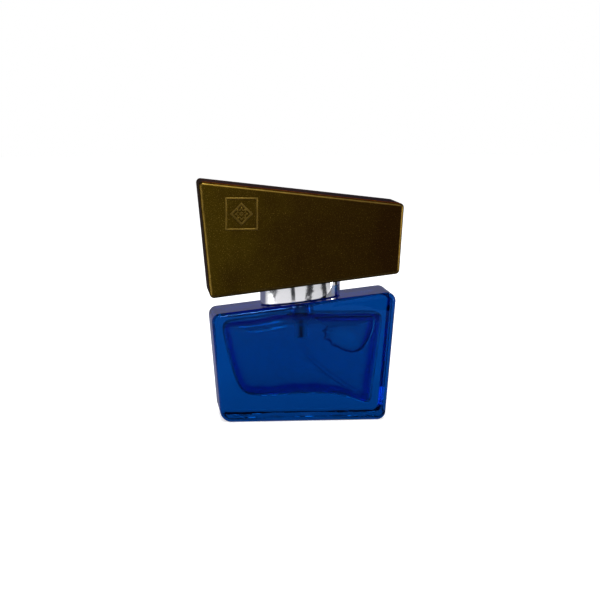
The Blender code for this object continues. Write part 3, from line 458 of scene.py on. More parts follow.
def loft(name, material, rings, ends="caps"):
    """A skin over rings of equal length. ends is caps, tube (the last ring meets the first) or poles."""
    shape = bmesh.new()
    loops = [[shape.verts.new(spot) for spot in ring] for ring in rings]
    pairs = list(zip(loops, loops[1:]))
    if ends == "tube":
        pairs.append((loops[-1], loops[0]))
    for low, high in pairs:
        for index in range(len(low)):
            after = (index + 1) % len(low)
            shape.faces.new((low[index], low[after], high[after], high[index]))
    for loop in (loops[0], loops[-1]):
        if ends == "caps":
            shape.faces.new(loop)
        if ends == "poles":
            pole = shape.verts.new(sum((vert.co for vert in loop), Vector()) / len(loop))
            for index in range(len(loop)):
                shape.faces.new((loop[index], loop[(index + 1) % len(loop)], pole))
    return new_object(name, new_mesh(name, shape), material)


def turned(name, material, outline, closed=False, steps=128, easing=0.0):
    """An outline of (radius, height), with its corners eased, turned about the Z axis."""
    shape = bmesh.new()
    outline = eased(outline, easing, closed) if easing else outline
    verts = [shape.verts.new((radius, 0.0, height)) for radius, height in outline]
    edges = [shape.edges.new(pair) for pair in zip(verts, verts[1:])]
    if closed:
        edges.append(shape.edges.new((verts[-1], verts[0])))
    full = {"axis": (0, 0, 1), "cent": (0, 0, 0), "angle": 2 * pi}
    bmesh.ops.spin(shape, geom=verts + edges, steps=steps, use_merge=True, **full)
    bmesh.ops.remove_doubles(shape, verts=shape.verts, dist=SAME)
    return new_object(name, new_mesh(name, shape), material)


def eased(outline, radius, closed, steps=4):
    """The outline with each corner rounded, by at most a third of its shorter side."""
    made = []
    for index, spot in enumerate(outline):
        corner = Vector(spot)
        if not closed and index in (0, len(outline) - 1):
            made.append(corner)
            continue
        back = Vector(outline[index - 1]) - corner
        onward = Vector(outline[(index + 1) % len(outline)]) - corner
        run = min(radius, back.length / 3, onward.length / 3)
        start = corner + run * back.normalized()
        end = corner + run * onward.normalized()
        for step in range(steps + 1):
            part = step / steps
            made.append((1 - part) ** 2 * start + 2 * part * (1 - part) * corner + part**2 * end)
    return made


def half_section(node):
    """A turned CAD node's outline as (radius, height) points in order, and whether it is a closed ring."""
    mesh = frame["nodes"][node].data
    spots = [tuple(round(value, 6) for value in vert.co) for vert in mesh.vertices]
    links = {}
    for edge in mesh.edges:
        here, there = (spots[index] for index in edge.vertices)
        if here != there and all(abs(y) < 3e-6 and x > -3e-6 for x, y, z in (here, there)):
            links.setdefault(here, set()).add(there)
            links.setdefault(there, set()).add(here)
    ends = [spot for spot in links if len(links[spot]) == 1]
    order = [max(ends or links, key=lambda spot: spot[2])]
    onward = sorted(links[order[0]])
    while onward:
        order.append(onward[0])
        onward = [spot for spot in sorted(links[order[-1]]) if spot not in order]
    outline = [(max(x, 0.0), z) for x, y, z in order]
    # A flat disc has no edge in the section, so an open end is carried on to the axis.
    if ends and outline[0][0] > 0:
        outline.insert(0, (0.0, outline[0][1]))
    if ends and outline[-1][0] > 0:
        outline.append((0.0, outline[-1][1]))
    return outline, not ends


def applied(item):
    """The item with its modifiers worked into its mesh."""
    graph = bpy.context.evaluated_depsgraph_get()
    mesh = bpy.data.meshes.new_from_object(item.evaluated_get(graph))
    old = item.data
    item.modifiers.clear()
    item.data = mesh
    bpy.data.meshes.remove(old)
    return item


def combine(item, operation, others):
    """Joins the others to the item, or cuts them from it; they are used up."""
    for other in others:
        boolean = item.modifiers.new(other.name, "BOOLEAN")
        boolean.operation = operation
        boolean.object = other
        boolean.solver = "EXACT"
        boolean.material_mode = "TRANSFER"
    applied(item)
    for other in others:
        bpy.data.objects.remove(other, do_unlink=True)
    return item


def even_shading(item, sharp=35.0):
    """Flat faces stay flat and rounded edges round: normals are weighted by the size of the faces."""
    item.data.shade_smooth()
    item.data.set_sharp_from_angle(angle=radians(sharp))
    weighted = item.modifiers.new("even shading", "WEIGHTED_NORMAL")
    weighted.keep_sharp = True
    weighted.weight = 100
    return applied(item)


def settle(item, body, node=None, slot=None):
    """Puts a finished piece on its body, in place of the CAD node that it stands for."""
    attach(item, body)
    if node:
        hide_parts(node)
    return item


# Outlines


def heading(degrees):
    return cos(radians(degrees)), sin(radians(degrees))


def reach(node, degrees, clear_of_axis=0.0):
    """How far a CAD node goes along a direction in XZ, given as an angle from +X."""
    x, z = heading(degrees)
    spots = [vert.co for vert in frame["nodes"][node].data.vertices]
    return max(spot.x * x + spot.z * z for spot in spots if hypot(spot.x, spot.y) >= clear_of_axis)


def crossing(first, second, inset):
    """Where two sides meet once both are moved in; a side is its normal's angle and its distance."""
    (one, reach_one), (two, reach_two) = first, second
    (cos_one, sin_one), (cos_two, sin_two) = heading(one), heading(two)
    near, far, turn = reach_one - inset, reach_two - inset, sin(radians(two - one))
    return Vector(((near * sin_two - far * sin_one) / turn, (far * cos_one - near * cos_two) / turn))


def height_on(side, x):
    across, up = heading(side[0])
    return (side[1] - x * across) / up


def rounded_outline(sides, radii, inset=0.0, steps=12):
    """Points (x, z) round a convex outline; each radius is of the corner after its side."""
    points = []
    for index, side in enumerate(sides):
        after = sides[(index + 1) % len(sides)]
        radius = radii[index]
        centre = crossing(side, after, radius)
        swing = (after[0] - side[0]) % 360
        for step in range(steps + 1):
            way = Vector(heading(side[0] + swing * step / steps))
            points.append(centre + (radius - inset) * way)
    return points


def slab_rings(sides, radii, front, back, edge, steps=8):
    """Rings in XZ from front to back, with rounded edges round both faces."""
    rings = []
    bends = quarter(edge, steps)
    for face, way, order in ((front, 1, bends), (back, -1, reversed(bends))):
        for across, inset in order:
            y = face + way * across
            rings.append(at_depth(y, rounded_outline(sides, radii, inset)))
    return rings


def at_depth(y, outline):
    return [Vector((x, y, z)) for x, z in outline]


def squared(value, power):
    """A circle's cosine or sine, pushed out towards a square."""
    return copysign(abs(value) ** (2 / power), value)


def oval_ring(half_width, half_depth, height, power, count=160):
    """A ring on a superellipse; height is a number or a function of x."""
    ring = []
    for index in range(count):
        turn = 2 * pi * index / count
        x = half_width * squared(cos(turn), power)
        y = half_depth * squared(sin(turn), power)
        ring.append(Vector((x, y, height(x) if callable(height) else height)))
    return ring


def quarter(radius, steps):
    """Round a quarter turn: how far in, and how far short of its end, each step is."""
    turns = [pi / 2 * step / steps for step in range(steps + 1)]
    return [(radius * (1 - cos(turn)), radius * (1 - sin(turn))) for turn in turns]


def smooth_loop(points, count):
    """Points (x, z) on a smooth closed curve through the given ones (a Catmull-Rom spline)."""
    made = []
    for index in range(count):
        place = index * len(points) / count
        first = int(place)
        part = place - first
        a, b, c, d = (Vector(points[(first + step) % len(points)]) for step in (-1, 0, 1, 2))
        bend = (2 * a - 5 * b + 4 * c - d) * part**2 + (3 * b - a - 3 * c + d) * part**3
        made.append(0.5 * (2 * b + (c - a) * part + bend))
    return made


def pillow_rings(outline, centre, middle, half_depth, power, grow=0.0, steps=30):
    """Rings of a soft-edged slab: the outline shrinks towards its centre as it nears the front or back."""
    rings = []
    for step in range(1, steps):
        turn = pi * step / steps
        size = squared(sin(turn), power)
        y = middle - squared(cos(turn), power) * (half_depth + grow)
        arms = [spot - centre for spot in outline]
        rings.append(at_depth(y, [centre + size * (arm + grow * arm.normalized()) for arm in arms]))
    return rings


# Flask and liquid

# The hollow's outline in mm from the base's centre: a low left corner, a humped floor that falls to the
# right, an upright right side and a roof that is almost level.
HOLLOW = (
    (-26.2, 13.4), (-23.6, 11.0), (-19.2, 9.9), (-12.0, 9.7), (-2.0, 10.3), (8.0, 10.2), (17.0, 9.1),
    (24.0, 6.9), (27.6, 6.2), (29.3, 8.4), (30.1, 15.0), (31.4, 24.0), (32.8, 34.0), (33.6, 41.0),
    (32.4, 43.8), (28.0, 44.5), (16.0, 44.6), (2.0, 44.6), (-10.0, 44.2), (-19.0, 42.6), (-28.6, 41.6),
    (-32.2, 40.2), (-32.8, 36.8), (-30.9, 27.5), (-28.5, 19.0),
)
# The air pocket's outline in mm: its left side is ragged where the liquid clings.
BUBBLE = (
    (4.8, 42.7), (6.2, 41.2), (8.6, 40.2), (9.6, 38.6), (8.0, 37.2), (9.4, 35.6), (8.8, 34.0), (11.4, 32.6),
    (11.8, 31.2), (14.8, 30.0), (17.0, 28.7), (20.6, 27.9), (24.2, 28.8), (27.2, 31.6), (29.2, 36.0),
    (30.0, 41.2), (28.4, 43.2), (20.0, 43.5), (11.0, 43.4),
)


def flask_sides(settings):
    """The flask's outline: right side, top, left side, base, each as its normal's angle and reach."""
    lean, slope = math.degrees(settings.side_lean), math.degrees(settings.top_slope)
    beside_neck = settings.neck_radius + 2 * MM
    angles = (-lean, 90 + slope, 180 + lean, 270)
    return [(degrees, reach("glass_bottle", degrees, beside_neck)) for degrees in angles]


def glass_top(settings, x):
    return height_on(flask_sides(settings)[1], x)


def outline_centre(outline):
    lows = [min(spot[axis] for spot in outline) for axis in (0, 1)]
    highs = [max(spot[axis] for spot in outline) for axis in (0, 1)]
    return (Vector(lows) + Vector(highs)) / 2


def hollow_rings(settings, grow=0.0):
    outline = smooth_loop([Vector(spot) * MM for spot in HOLLOW], 200)
    half_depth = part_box("glass_bottle")[1].y - settings.face_wall
    return pillow_rings(outline, outline_centre(outline), 0.0, half_depth, settings.hollow_power, grow)


class BOTTLE_OT_flask(bpy.types.Operator):
    """Blow the flask: a leaning slab of glass with a neck, a hollow and a punt"""

    bl_idname = "bottle.flask"
    bl_label = "Flask"

    def execute(self, context):
        settings = context.scene.bottle_flask
        low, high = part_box("glass_bottle")
        coat, inside = blue_glass(settings), bpy.data.materials.new("inside")
        corner = settings.corner_radius
        radii = (corner, corner, settings.heel_radius, corner)
        rings = slab_rings(flask_sides(settings), radii, low.y, high.y, settings.edge_radius)
        flask = loft("glass_flask", coat, rings)

        rim, bead = high.z, settings.neck_radius
        waist, foot = bead - settings.neck_waist, glass_top(settings, 0.0) - 3 * OVERLAP
        neck_outline = [(0, rim), (bead, rim), (bead, rim - settings.bead_height + settings.neck_waist)]
        neck_outline += [(waist, rim - settings.bead_height), (waist, foot), (0, foot)]
        neck = turned("neck", coat, neck_outline, easing=0.8 * MM)
        combine(flask, "UNION", [neck])

        hollow = loft("hollow", inside, hollow_rings(settings), "poles")
        radius, top, bottom = settings.bore_radius, rim + OVERLAP, low.z + (rim - low.z) / 2
        bore = turned("bore", inside, [(0, top), (radius, top), (radius, bottom), (0, bottom)])
        dome = bmesh.new()
        bmesh.ops.create_uvsphere(dome, u_segments=96, v_segments=48, radius=1.0)
        reach_of_punt = (settings.punt_width, settings.punt_depth, settings.punt_rise)
        bmesh.ops.scale(dome, vec=reach_of_punt, verts=dome.verts)
        punt = new_object("punt", new_mesh("punt", dome), coat)
        combine(flask, "DIFFERENCE", [hollow, bore, punt])
        self.mark_inside(flask, inside)
        settle(even_shading(flask), "bottle", "glass_bottle", "blue_glass")
        return {"FINISHED"}

    def mark_inside(self, flask, inside):
        """Turns the hollow's own material into a mark on its faces, so that the glass is all one material,
        and marks the hollow's sides, which get a painted shade of deeper blue.
        """
        facing, fade = 0.88, 0.3  # how far a face's normal may point forward and still be a side
        slots = [slot.name.split(".")[0] for slot in flask.data.materials]
        mark = flask.data.attributes.new("inside", "FLOAT", "FACE")
        side = flask.data.attributes.new("side", "FLOAT", "FACE")
        for face in flask.data.polygons:
            mark.data[face.index].value = float(slots[face.material_index] == inside.name)
            side.data[face.index].value = min(max((facing - abs(face.normal.y)) / fade, 0.0), 1.0)
            face.material_index = 0
        while len(flask.data.materials) > 1:
            flask.data.materials.pop()
        bpy.data.materials.remove(inside)


class BOTTLE_OT_liquid(bpy.types.Operator):
    """Fill the hollow with liquid, leaving the air pocket at the upper right"""

    bl_idname = "bottle.liquid"
    bl_label = "Liquid"

    def execute(self, context):
        settings, flask = context.scene.bottle_liquid, context.scene.bottle_flask
        body = loft("liquid", scent(settings), hollow_rings(flask, settings.grip), "poles")
        outline = smooth_loop([Vector(spot) * MM for spot in BUBBLE], 140)
        front_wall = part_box("glass_bottle")[0].y + flask.face_wall
        middle = front_wall + settings.bubble_skin + settings.bubble_depth
        rings = pillow_rings(outline, outline_centre(outline), middle, settings.bubble_depth, 2.6)
        bubble = loft("bubble", None, rings, "poles")
        bubble.data.flip_normals()
        shape = bmesh.new()
        shape.from_mesh(body.data)
        shape.from_mesh(bubble.data)
        shape.to_mesh(body.data)
        shape.free()
        bpy.data.objects.remove(bubble, do_unlink=True)
        body.data.shade_smooth()
        settle(body, "bottle")
        return {"FINISHED"}


# Collar


class BOTTLE_OT_collar(bpy.types.Operator):
    """Press the oval collar with its round chimney, and finish the liner that holds it"""

    bl_idname = "bottle.collar"
    bl_label = "Collar"

    def execute(self, context):
        settings, flask = context.scene.bottle_collar, context.scene.bottle_flask
        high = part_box("collar_shell")[1]
        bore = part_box("actuator_sleeve")[1].x + 0.4 * MM
        chimney = bore + settings.wall
        beside = [vert.co for vert in frame["nodes"]["collar_shell"].data.vertices]
        shoulder = max(spot.z for spot in beside if hypot(spot.x, spot.y) > chimney + OVERLAP)
        wall, edge, lip = settings.wall, settings.edge_radius, settings.lip_radius

        def foot(x):
            return glass_top(flask, x) + settings.foot_gap

        def oval(inset, height):
            return oval_ring(high.x - inset, high.y - inset, height, settings.power)

        def circle(radius, height):
            return oval_ring(radius, radius, height, 2.0)

        outside = [oval(lip, foot), oval(0.3 * lip, lambda x: foot(x) + 0.3 * lip)]
        outside.append(oval(0.0, lambda x: foot(x) + lip))
        outside += [oval(across, shoulder - down) for across, down in quarter(edge, 6)]
        cove = 0.5 * MM
        top = [circle(chimney + out, shoulder + up) for up, out in quarter(cove, 5)]
        top += [circle(chimney, high.z - lip), circle(chimney - 0.3 * lip, high.z - 0.3 * lip)]
        top += [circle(chimney - lip, high.z), circle(bore + lip, high.z)]
        top += [circle(bore + 0.3 * lip, high.z - 0.3 * lip), circle(bore, high.z - lip)]
        inside = [circle(bore, shoulder - wall), oval(wall + edge, shoulder - wall)]
        inside += [oval(wall + 0.3 * edge, shoulder - wall - 0.3 * edge), oval(wall, shoulder - wall - edge)]
        inside += [oval(wall, foot)]
        collar = loft("collar_plating", bright_plate(settings), outside + top + inside, "tube")
        settle(even_shading(collar, 50.0), "bottle", "collar_shell", "bright_collar")
        liner = frame["nodes"]["collar_liner"]
        liner.data.materials[0] = black_moulding(context.scene.bottle_cap)
        return {"FINISHED"}


# Cap


def cap_sides(settings, node="cap_shell"):
    """The cap's outline: right side, top, left side, lower edge, each as its normal's angle and reach."""
    left, right = math.degrees(settings.left_lean), math.degrees(settings.right_lean)
    top, bottom = math.degrees(settings.top_slope), math.degrees(settings.bottom_slope)
    angles = (-right, 90 - top, 180 + left, 270 + bottom)
    return [(degrees, reach(node, degrees) - HAIR) for degrees in angles]


def ridge(name, material, corners, half_size, rise, face, width, steps=8):
    """A raised rounded line round a closed outline; corners takes a size and gives points (x, z)."""
    rings = []
    for step in range(steps + 1):
        turn = pi * step / steps
        size = half_size - width / 2 * cos(turn)
        y = face + FRONT * rise * sin(turn) ** 0.6
        rings.append(at_depth(y, corners(size)))
    sunk = face + 0.5 * MM
    rings.insert(0, at_depth(sunk, corners(half_size - width / 2)))
    rings.append(at_depth(sunk, corners(half_size + width / 2)))
    return loft(name, material, rings, "tube")


class BOTTLE_OT_cap_shell(bpy.types.Operator):
    """Form the cap's satin gold shell, with its badge"""

    bl_idname = "bottle.cap_shell"
    bl_label = "Cap shell"

    def execute(self, context):
        settings = context.scene.bottle_cap
        sides = cap_sides(settings)
        radii = (settings.corner_radius,) * 4
        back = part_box("cap_shell")[1].y
        front, gold = -back, satin_gold(settings)
        shell = loft("cap_gold", gold, slab_rings(sides, radii, front, back, settings.edge_radius, 10))
        open_side = [(degrees, distance - settings.wall) for degrees, distance in sides]
        open_side[3] = (sides[3][0], sides[3][1] + 2 * OVERLAP)
        inner = (front + settings.wall, back - settings.wall)
        hollow = loft("cap hollow", gold, slab_rings(open_side, (0.6 * MM,) * 4, *inner, 0.5 * MM, 3))
        combine(shell, "DIFFERENCE", [hollow])
        combine(shell, "UNION", self.badge(settings, sides, front, gold))
        self.mark_edges(shell, sides, settings, front, back)
        settle(even_shading(shell, 40.0), "cap", "cap_shell", "satin_gold")
        return {"FINISHED"}

    def badge(self, settings, sides, front, gold):
        """A raised square line round a lozenge and a small rosette."""
        (across, up), distance = heading(sides[2][0]), sides[2][1]
        top_left = crossing(sides[1], sides[2], 0.0)
        z = top_left.y - settings.badge_down - settings.badge_left * tan(settings.top_slope)
        left = (distance - z * up) / across
        centre = Vector((left + settings.badge_left, z))
        half, line = settings.badge_size / 2, settings.badge_line
        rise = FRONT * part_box("cap_shell")[0].y + front - HAIR

        def square(size, first=45, steps=10):
            arms = [size * sqrt(2) * Vector(heading(first + 90 * index)) for index in range(5)]
            pairs = zip(arms, arms[1:])
            return [centre + a.lerp(b, step / steps) for a, b in pairs for step in range(steps)]

        def lozenge(size):
            return square(size, 90)

        def rosette(size, lobes=8, steps=64):
            turns = [360 * index / steps for index in range(steps)]
            arms = [size * (1 + 0.22 * heading(lobes * turn)[0]) for turn in turns]
            return [centre + arm * Vector(heading(turn)) for arm, turn in zip(arms, turns)]

        lozenge_half = (half - 2.0 * MM) / sqrt(2)
        return [
            ridge(f"badge {name}", gold, shape, size, rise, front, width * line)
            for name, shape, size, width in (
                ("square", square, half - line / 2, 1.0),
                ("lozenge", lozenge, lozenge_half - line / 2, 1.2),
                ("rosette", rosette, settings.rosette, 1.0),
                ("eye", rosette, 0.3 * settings.rosette, 0.8),
            )
        ]

    def mark_edges(self, shell, sides, settings, front, back):
        """Marks the rounded edges and the badge, where the gold is painted lighter: partly wear, partly a
        painted highlight.
        """
        mark = shell.data.attributes.new("edge", "FLOAT", "POINT")
        walls = [(*heading(degrees), distance) for degrees, distance in sides]
        for index, vert in enumerate(shell.data.vertices):
            x, y, z = vert.co
            inset = min(distance - x * across - z * up for across, up, distance in walls)
            depth = min(y - front, back - y)
            near, far = sorted((inset, depth))
            badge = depth < -0.05 * MM
            rounded = 0.02 * MM < near < 0.6 * settings.edge_radius and far < 0.98 * settings.edge_radius
            mark.data[index].value = float(badge or rounded)


class BOTTLE_OT_cap_insert(bpy.types.Operator):
    """Mould the black insert: a slanted plate that closes the cap, ribs, and an oval cup for the collar"""

    bl_idname = "bottle.cap_insert"
    bl_label = "Cap insert"

    def execute(self, context):
        settings, collar = context.scene.bottle_cap, context.scene.bottle_collar
        low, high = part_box("cap_insert")
        plate_thickness, cup_wall = 1.6 * MM, 1.2 * MM
        sides, shell = cap_sides(settings, "cap_insert"), cap_sides(settings)
        sides[1] = (sides[3][0] - 180, plate_thickness - sides[3][1])
        for index in (0, 2):
            degrees, distance = shell[index]
            sides[index] = (degrees, distance - settings.wall - 0.3 * MM)
        black = black_moulding(settings)
        rings = slab_rings(sides, (0.5 * MM,) * 4, low.y, high.y, 0.25 * MM, 3)
        insert = loft("cap_moulding", black, rings)

        def plate(x):
            return height_on(sides[3], x) + plate_thickness / 2

        collar_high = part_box("collar_shell")[1]
        bore_width, bore_depth = collar_high.x + 0.3 * MM, collar_high.y + 0.3 * MM

        def dome(name, width, depth, foot, top, edge):
            ovals = [oval_ring(width, depth, foot, collar.power)]
            for inset, drop in quarter(edge, 6):
                ovals.append(oval_ring(width - inset, depth - inset, top - drop, collar.power))
            return loft(name, black, ovals)

        edge = 1.5 * cup_wall
        cup = dome("cup", bore_width + cup_wall, bore_depth + cup_wall, plate, high.z, edge)
        combine(insert, "UNION", [cup, *self.ribs(plate, bore_width + cup_wall / 2, black)])
        foot = low.z - 3 * OVERLAP
        bore = dome("bore", bore_width, bore_depth, foot, high.z - cup_wall, edge - cup_wall / 2)
        combine(insert, "DIFFERENCE", [bore])
        settle(even_shading(insert, 40.0), "cap", "cap_insert", "black_plastic")
        return {"FINISHED"}

    def ribs(self, plate, near, black):
        """A thin gusset each side of the cup."""
        run, toe, heel, half = 11.0 * MM, 5 * MM, 14 * MM, 0.6 * MM
        made = []
        for side in (-1, 1):
            start, far = side * near, side * (near + run)
            corners = [(start, plate(start)), (far, plate(far)), (far, plate(far) + toe)]
            corners.append((start, plate(start) + heel))
            rings = [at_depth(y, corners) for y in (-half, half)]
            made.append(loft(f"rib {side}", black, rings))
        return made


# Pump


def turn_again(node, name, material, body, slot, easing):
    """A CAD node's own half section, eased and turned finely."""
    outline, closed = half_section(node)
    item = turned(name, material, outline, closed, easing=easing)
    return settle(even_shading(item), body, node, slot)


class BOTTLE_OT_closure(bpy.types.Operator):
    """Crimp the ferrule over the neck and the gasket"""

    bl_idname = "bottle.closure"
    bl_label = "Closure"

    def execute(self, context):
        settings = context.scene.bottle_pump
        aluminium = drawn_metal("crimped aluminium", settings.aluminium, 0.2, (0.2, 0.2, 4.0))
        rubber = seal_rubber(settings)
        easing, crimp, flutes, deepest = settings.easing, 1.6 * MM, 24, 0.12 * MM
        ferrule = turn_again("crimp_ferrule", "ferrule", aluminium, "bottle", "crimped_aluminium", easing)
        crimp_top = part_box("crimp_ferrule")[0].z + crimp
        for vert in ferrule.data.vertices:
            if vert.co.z < crimp_top:
                flute = 0.5 - 0.5 * cos(flutes * atan2(vert.co.y, vert.co.x))
                depth = deepest * flute * (crimp_top - vert.co.z) / crimp
                radius = hypot(vert.co.x, vert.co.y)
                vert.co.xy *= (radius - depth) / radius
        turn_again("neck_gasket", "gasket", rubber, "bottle", "seal_rubber", easing)
        return {"FINISHED"}


class BOTTLE_OT_pump(bpy.types.Operator):
    """Turn the pump's housing, turret, seal, stem and piston"""

    bl_idname = "bottle.pump"
    bl_label = "Pump"

    def execute(self, context):
        settings = context.scene.bottle_pump
        plastic, rubber = natural_plastic(settings), seal_rubber(settings)
        thin = natural_plastic(settings, "thin natural plastic", 1.0, 1.05)
        for node, name, material, body, slot in (
            ("pump_housing", "housing", thin, "bottle", "natural_plastic"),
            ("pump_turret", "turret", plastic, "bottle", "natural_plastic"),
            ("stem_seal", "seal", rubber, "bottle", "seal_rubber"),
            ("pump_stem", "stem", plastic, "stem", "natural_plastic"),
            ("pump_piston", "piston", plastic, "piston", "natural_plastic"),
        ):
            turn_again(node, name, material, body, slot, settings.easing)
        return {"FINISHED"}


class BOTTLE_OT_springs(bpy.types.Operator):
    """Wind the return spring and the small spring under the piston, and drop in the valve ball"""

    bl_idname = "bottle.springs"
    bl_label = "Springs and ball"

    def execute(self, context):
        settings = context.scene.bottle_pump
        steel = drawn_metal("spring steel", settings.steel, 0.18, (1.0, 1.0, 1.0))
        low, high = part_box("return_spring")
        keep = 1 - settings.stroke / (high.z - low.z)
        spring = self.coil("return_spring", "long_spring", 6, settings.wire, steel)
        settle(spring, "bottle", "return_spring", "spring_steel")
        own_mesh(spring)
        joint = next(joint for joint in frame["joints"] if joint["name"] == "piston_lift")
        low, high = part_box("preload_spring")
        small = self.coil("preload_spring", "short_spring", 4, settings.wire, steel)
        settle(small, "stem", "preload_spring", "spring_steel")
        keep = 1 - joint["range_m"][1] / (high.z - low.z)
        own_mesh(small)
        low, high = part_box("inlet_ball")
        sphere = bmesh.new()
        bmesh.ops.create_icosphere(sphere, subdivisions=5, radius=(high.z - low.z) / 2)
        bmesh.ops.translate(sphere, vec=(low + high) / 2, verts=sphere.verts)
        ball = new_object("valve_ball", new_mesh("valve_ball", sphere), steel)
        settle(ball, "ball", "inlet_ball", "spring_steel")
        return {"FINISHED"}

    def coil(self, node, name, turns, wire, steel):
        """A compression spring between a CAD spring's ends, with one closed turn at each end."""
        low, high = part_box(node)
        radius = high.x - wire / 2
        start, end = low.z + wire / 2, high.z - wire / 2
        closed_rise = 1.15 * wire
        slope = (end - start - 2 * closed_rise) / (turns - 2)
        per_turn = 48
        path = []
        for index in range(turns * per_turn + 1):
            turn = index / per_turn
            bearing = 2 * pi * turn
            ends = min(turn, 1.0) + max(turn - turns + 1, 0.0)
            z = start + closed_rise * ends + slope * min(max(turn - 1, 0.0), turns - 2)
            path.append(Vector((radius * cos(bearing), radius * sin(bearing), z)))
        return tube(name, steel, path, wire / 2, 0.0, 16)


def tube(name, material, path, radius, bore, count):
    """A round wire along a path, or a tube if it has a bore; its section stays square to the path."""
    rings = []
    side = None
    for index, spot in enumerate(path):
        before, after = path[max(index - 1, 0)], path[min(index + 1, len(path) - 1)]
        along = (after - before).normalized()
        side = (side - side.dot(along) * along).normalized() if side else along.orthogonal().normalized()
        other = along.cross(side)
        rings.append((spot, side.copy(), other))

    def ring_at(spot, across, up, size):
        turns = [2 * pi * index / count for index in range(count)]
        return [spot + size * (cos(turn) * across + sin(turn) * up) for turn in turns]

    outer = [ring_at(*place, radius) for place in rings]
    if not bore:
        return loft(name, material, outer)
    inner = [ring_at(*place, bore) for place in reversed(rings)]
    return loft(name, material, outer + inner, "tube")


class BOTTLE_OT_dip_tube(bpy.types.Operator):
    """Hang the clear dip tube from the pump, bent to the hollow's low corner"""

    bl_idname = "bottle.dip_tube"
    bl_label = "Dip tube"

    def execute(self, context):
        settings = context.scene.bottle_pump
        low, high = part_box("dip_tube")
        radius, tilt = settings.tube_radius, settings.tube_tilt
        start = Vector((0, 0, high.z))
        foot = Vector((0, 0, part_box("pump_housing")[0].z))
        end = Vector((high.x - radius * sin(tilt), 0, low.z + radius * cos(tilt)))
        drop = foot.z - end.z
        # The two handles of the bend: straight down from the pump, and along the tube's sloping end.
        down = foot - Vector((0, 0, 0.35 * drop))
        along = end + Vector((-0.45 * end.x, 0, 0.32 * drop))
        path = [start, start.lerp(foot, 0.5)]
        steps = 60
        for index in range(steps + 1):
            part = index / steps
            rest = 1 - part
            middle = 3 * rest * part * (rest * down + part * along)
            path.append(rest**3 * foot + middle + part**3 * end)
        item = tube("clear_dip_tube", clear_tube(), path, radius, radius - settings.tube_wall, 40)
        settle(even_shading(item), "bottle", "dip_tube", "clear_tube")
        return {"FINISHED"}


class BOTTLE_OT_actuator(bpy.types.Operator):
    """Make the button: a plastic core in a bright sleeve, with the spray nozzle in front"""

    bl_idname = "bottle.actuator"
    bl_label = "Actuator"

    def execute(self, context):
        settings = context.scene.bottle_pump
        plate = bright_plate(context.scene.bottle_collar)
        plastic = natural_plastic(settings)
        low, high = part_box("nozzle_insert")
        centre = (low + high) / 2
        radius, face, depth = high.x, low.y, high.y - low.y

        def dished(outline):
            """A shallow dish pressed into the sleeve's top and the roof under it."""
            top, roof, steps = outline[0][1], outline[-1][1], 12
            wide = max(x for x, _ in outline) - 1.2 * MM
            parts = [step / steps for step in range(steps)]
            dish = [(wide * part, top - settings.dish * (1 - part**2) ** 1.5) for part in parts]
            return dish + outline[1:-1] + [(0.0, roof - settings.dish)]

        to_front = Matrix.Rotation(-pi / 2, 4, "X")
        wide, deep = radius + 0.15 * MM, depth + OVERLAP + 0.3 * MM
        for node, name, material, slot, alter in (
            ("actuator_sleeve", "button_sleeve", plate, "bright_collar", dished),
            ("actuator_core", "button_core", plastic, "natural_plastic", None),
        ):
            outline, closed = half_section(node)
            outline = alter(outline) if alter else outline
            item = turned(name, material, outline, closed, easing=settings.easing)
            pocket = turned("pocket", material, [(0, 0), (wide, 0), (wide, deep), (0, deep)], steps=64)
            pocket.data.transform(Matrix.Translation((0, face - OVERLAP, centre.z)) @ to_front)
            combine(item, "DIFFERENCE", [pocket])
            settle(even_shading(item), "actuator", node, slot)

        rim, hole = settings.nozzle_wall, settings.orifice
        back = depth / 2 + 0.3 * MM
        outline = [(hole, 0.9 * MM), (2 * hole, 0.55 * MM), (radius - rim, 0.35 * MM)]
        outline += [(radius - 0.8 * rim, 0.0), (radius, 0.0), (radius, depth)]
        outline += [(radius / 2, depth), (radius / 2, back), (hole, back)]
        nozzle = turned("nozzle", plastic, outline, True, 96, 0.1 * MM)
        nozzle.data.transform(Matrix.Translation((0, face, centre.z)) @ to_front)
        settle(even_shading(nozzle), "actuator", "nozzle_insert", "natural_plastic")
        return {"FINISHED"}


# Stage


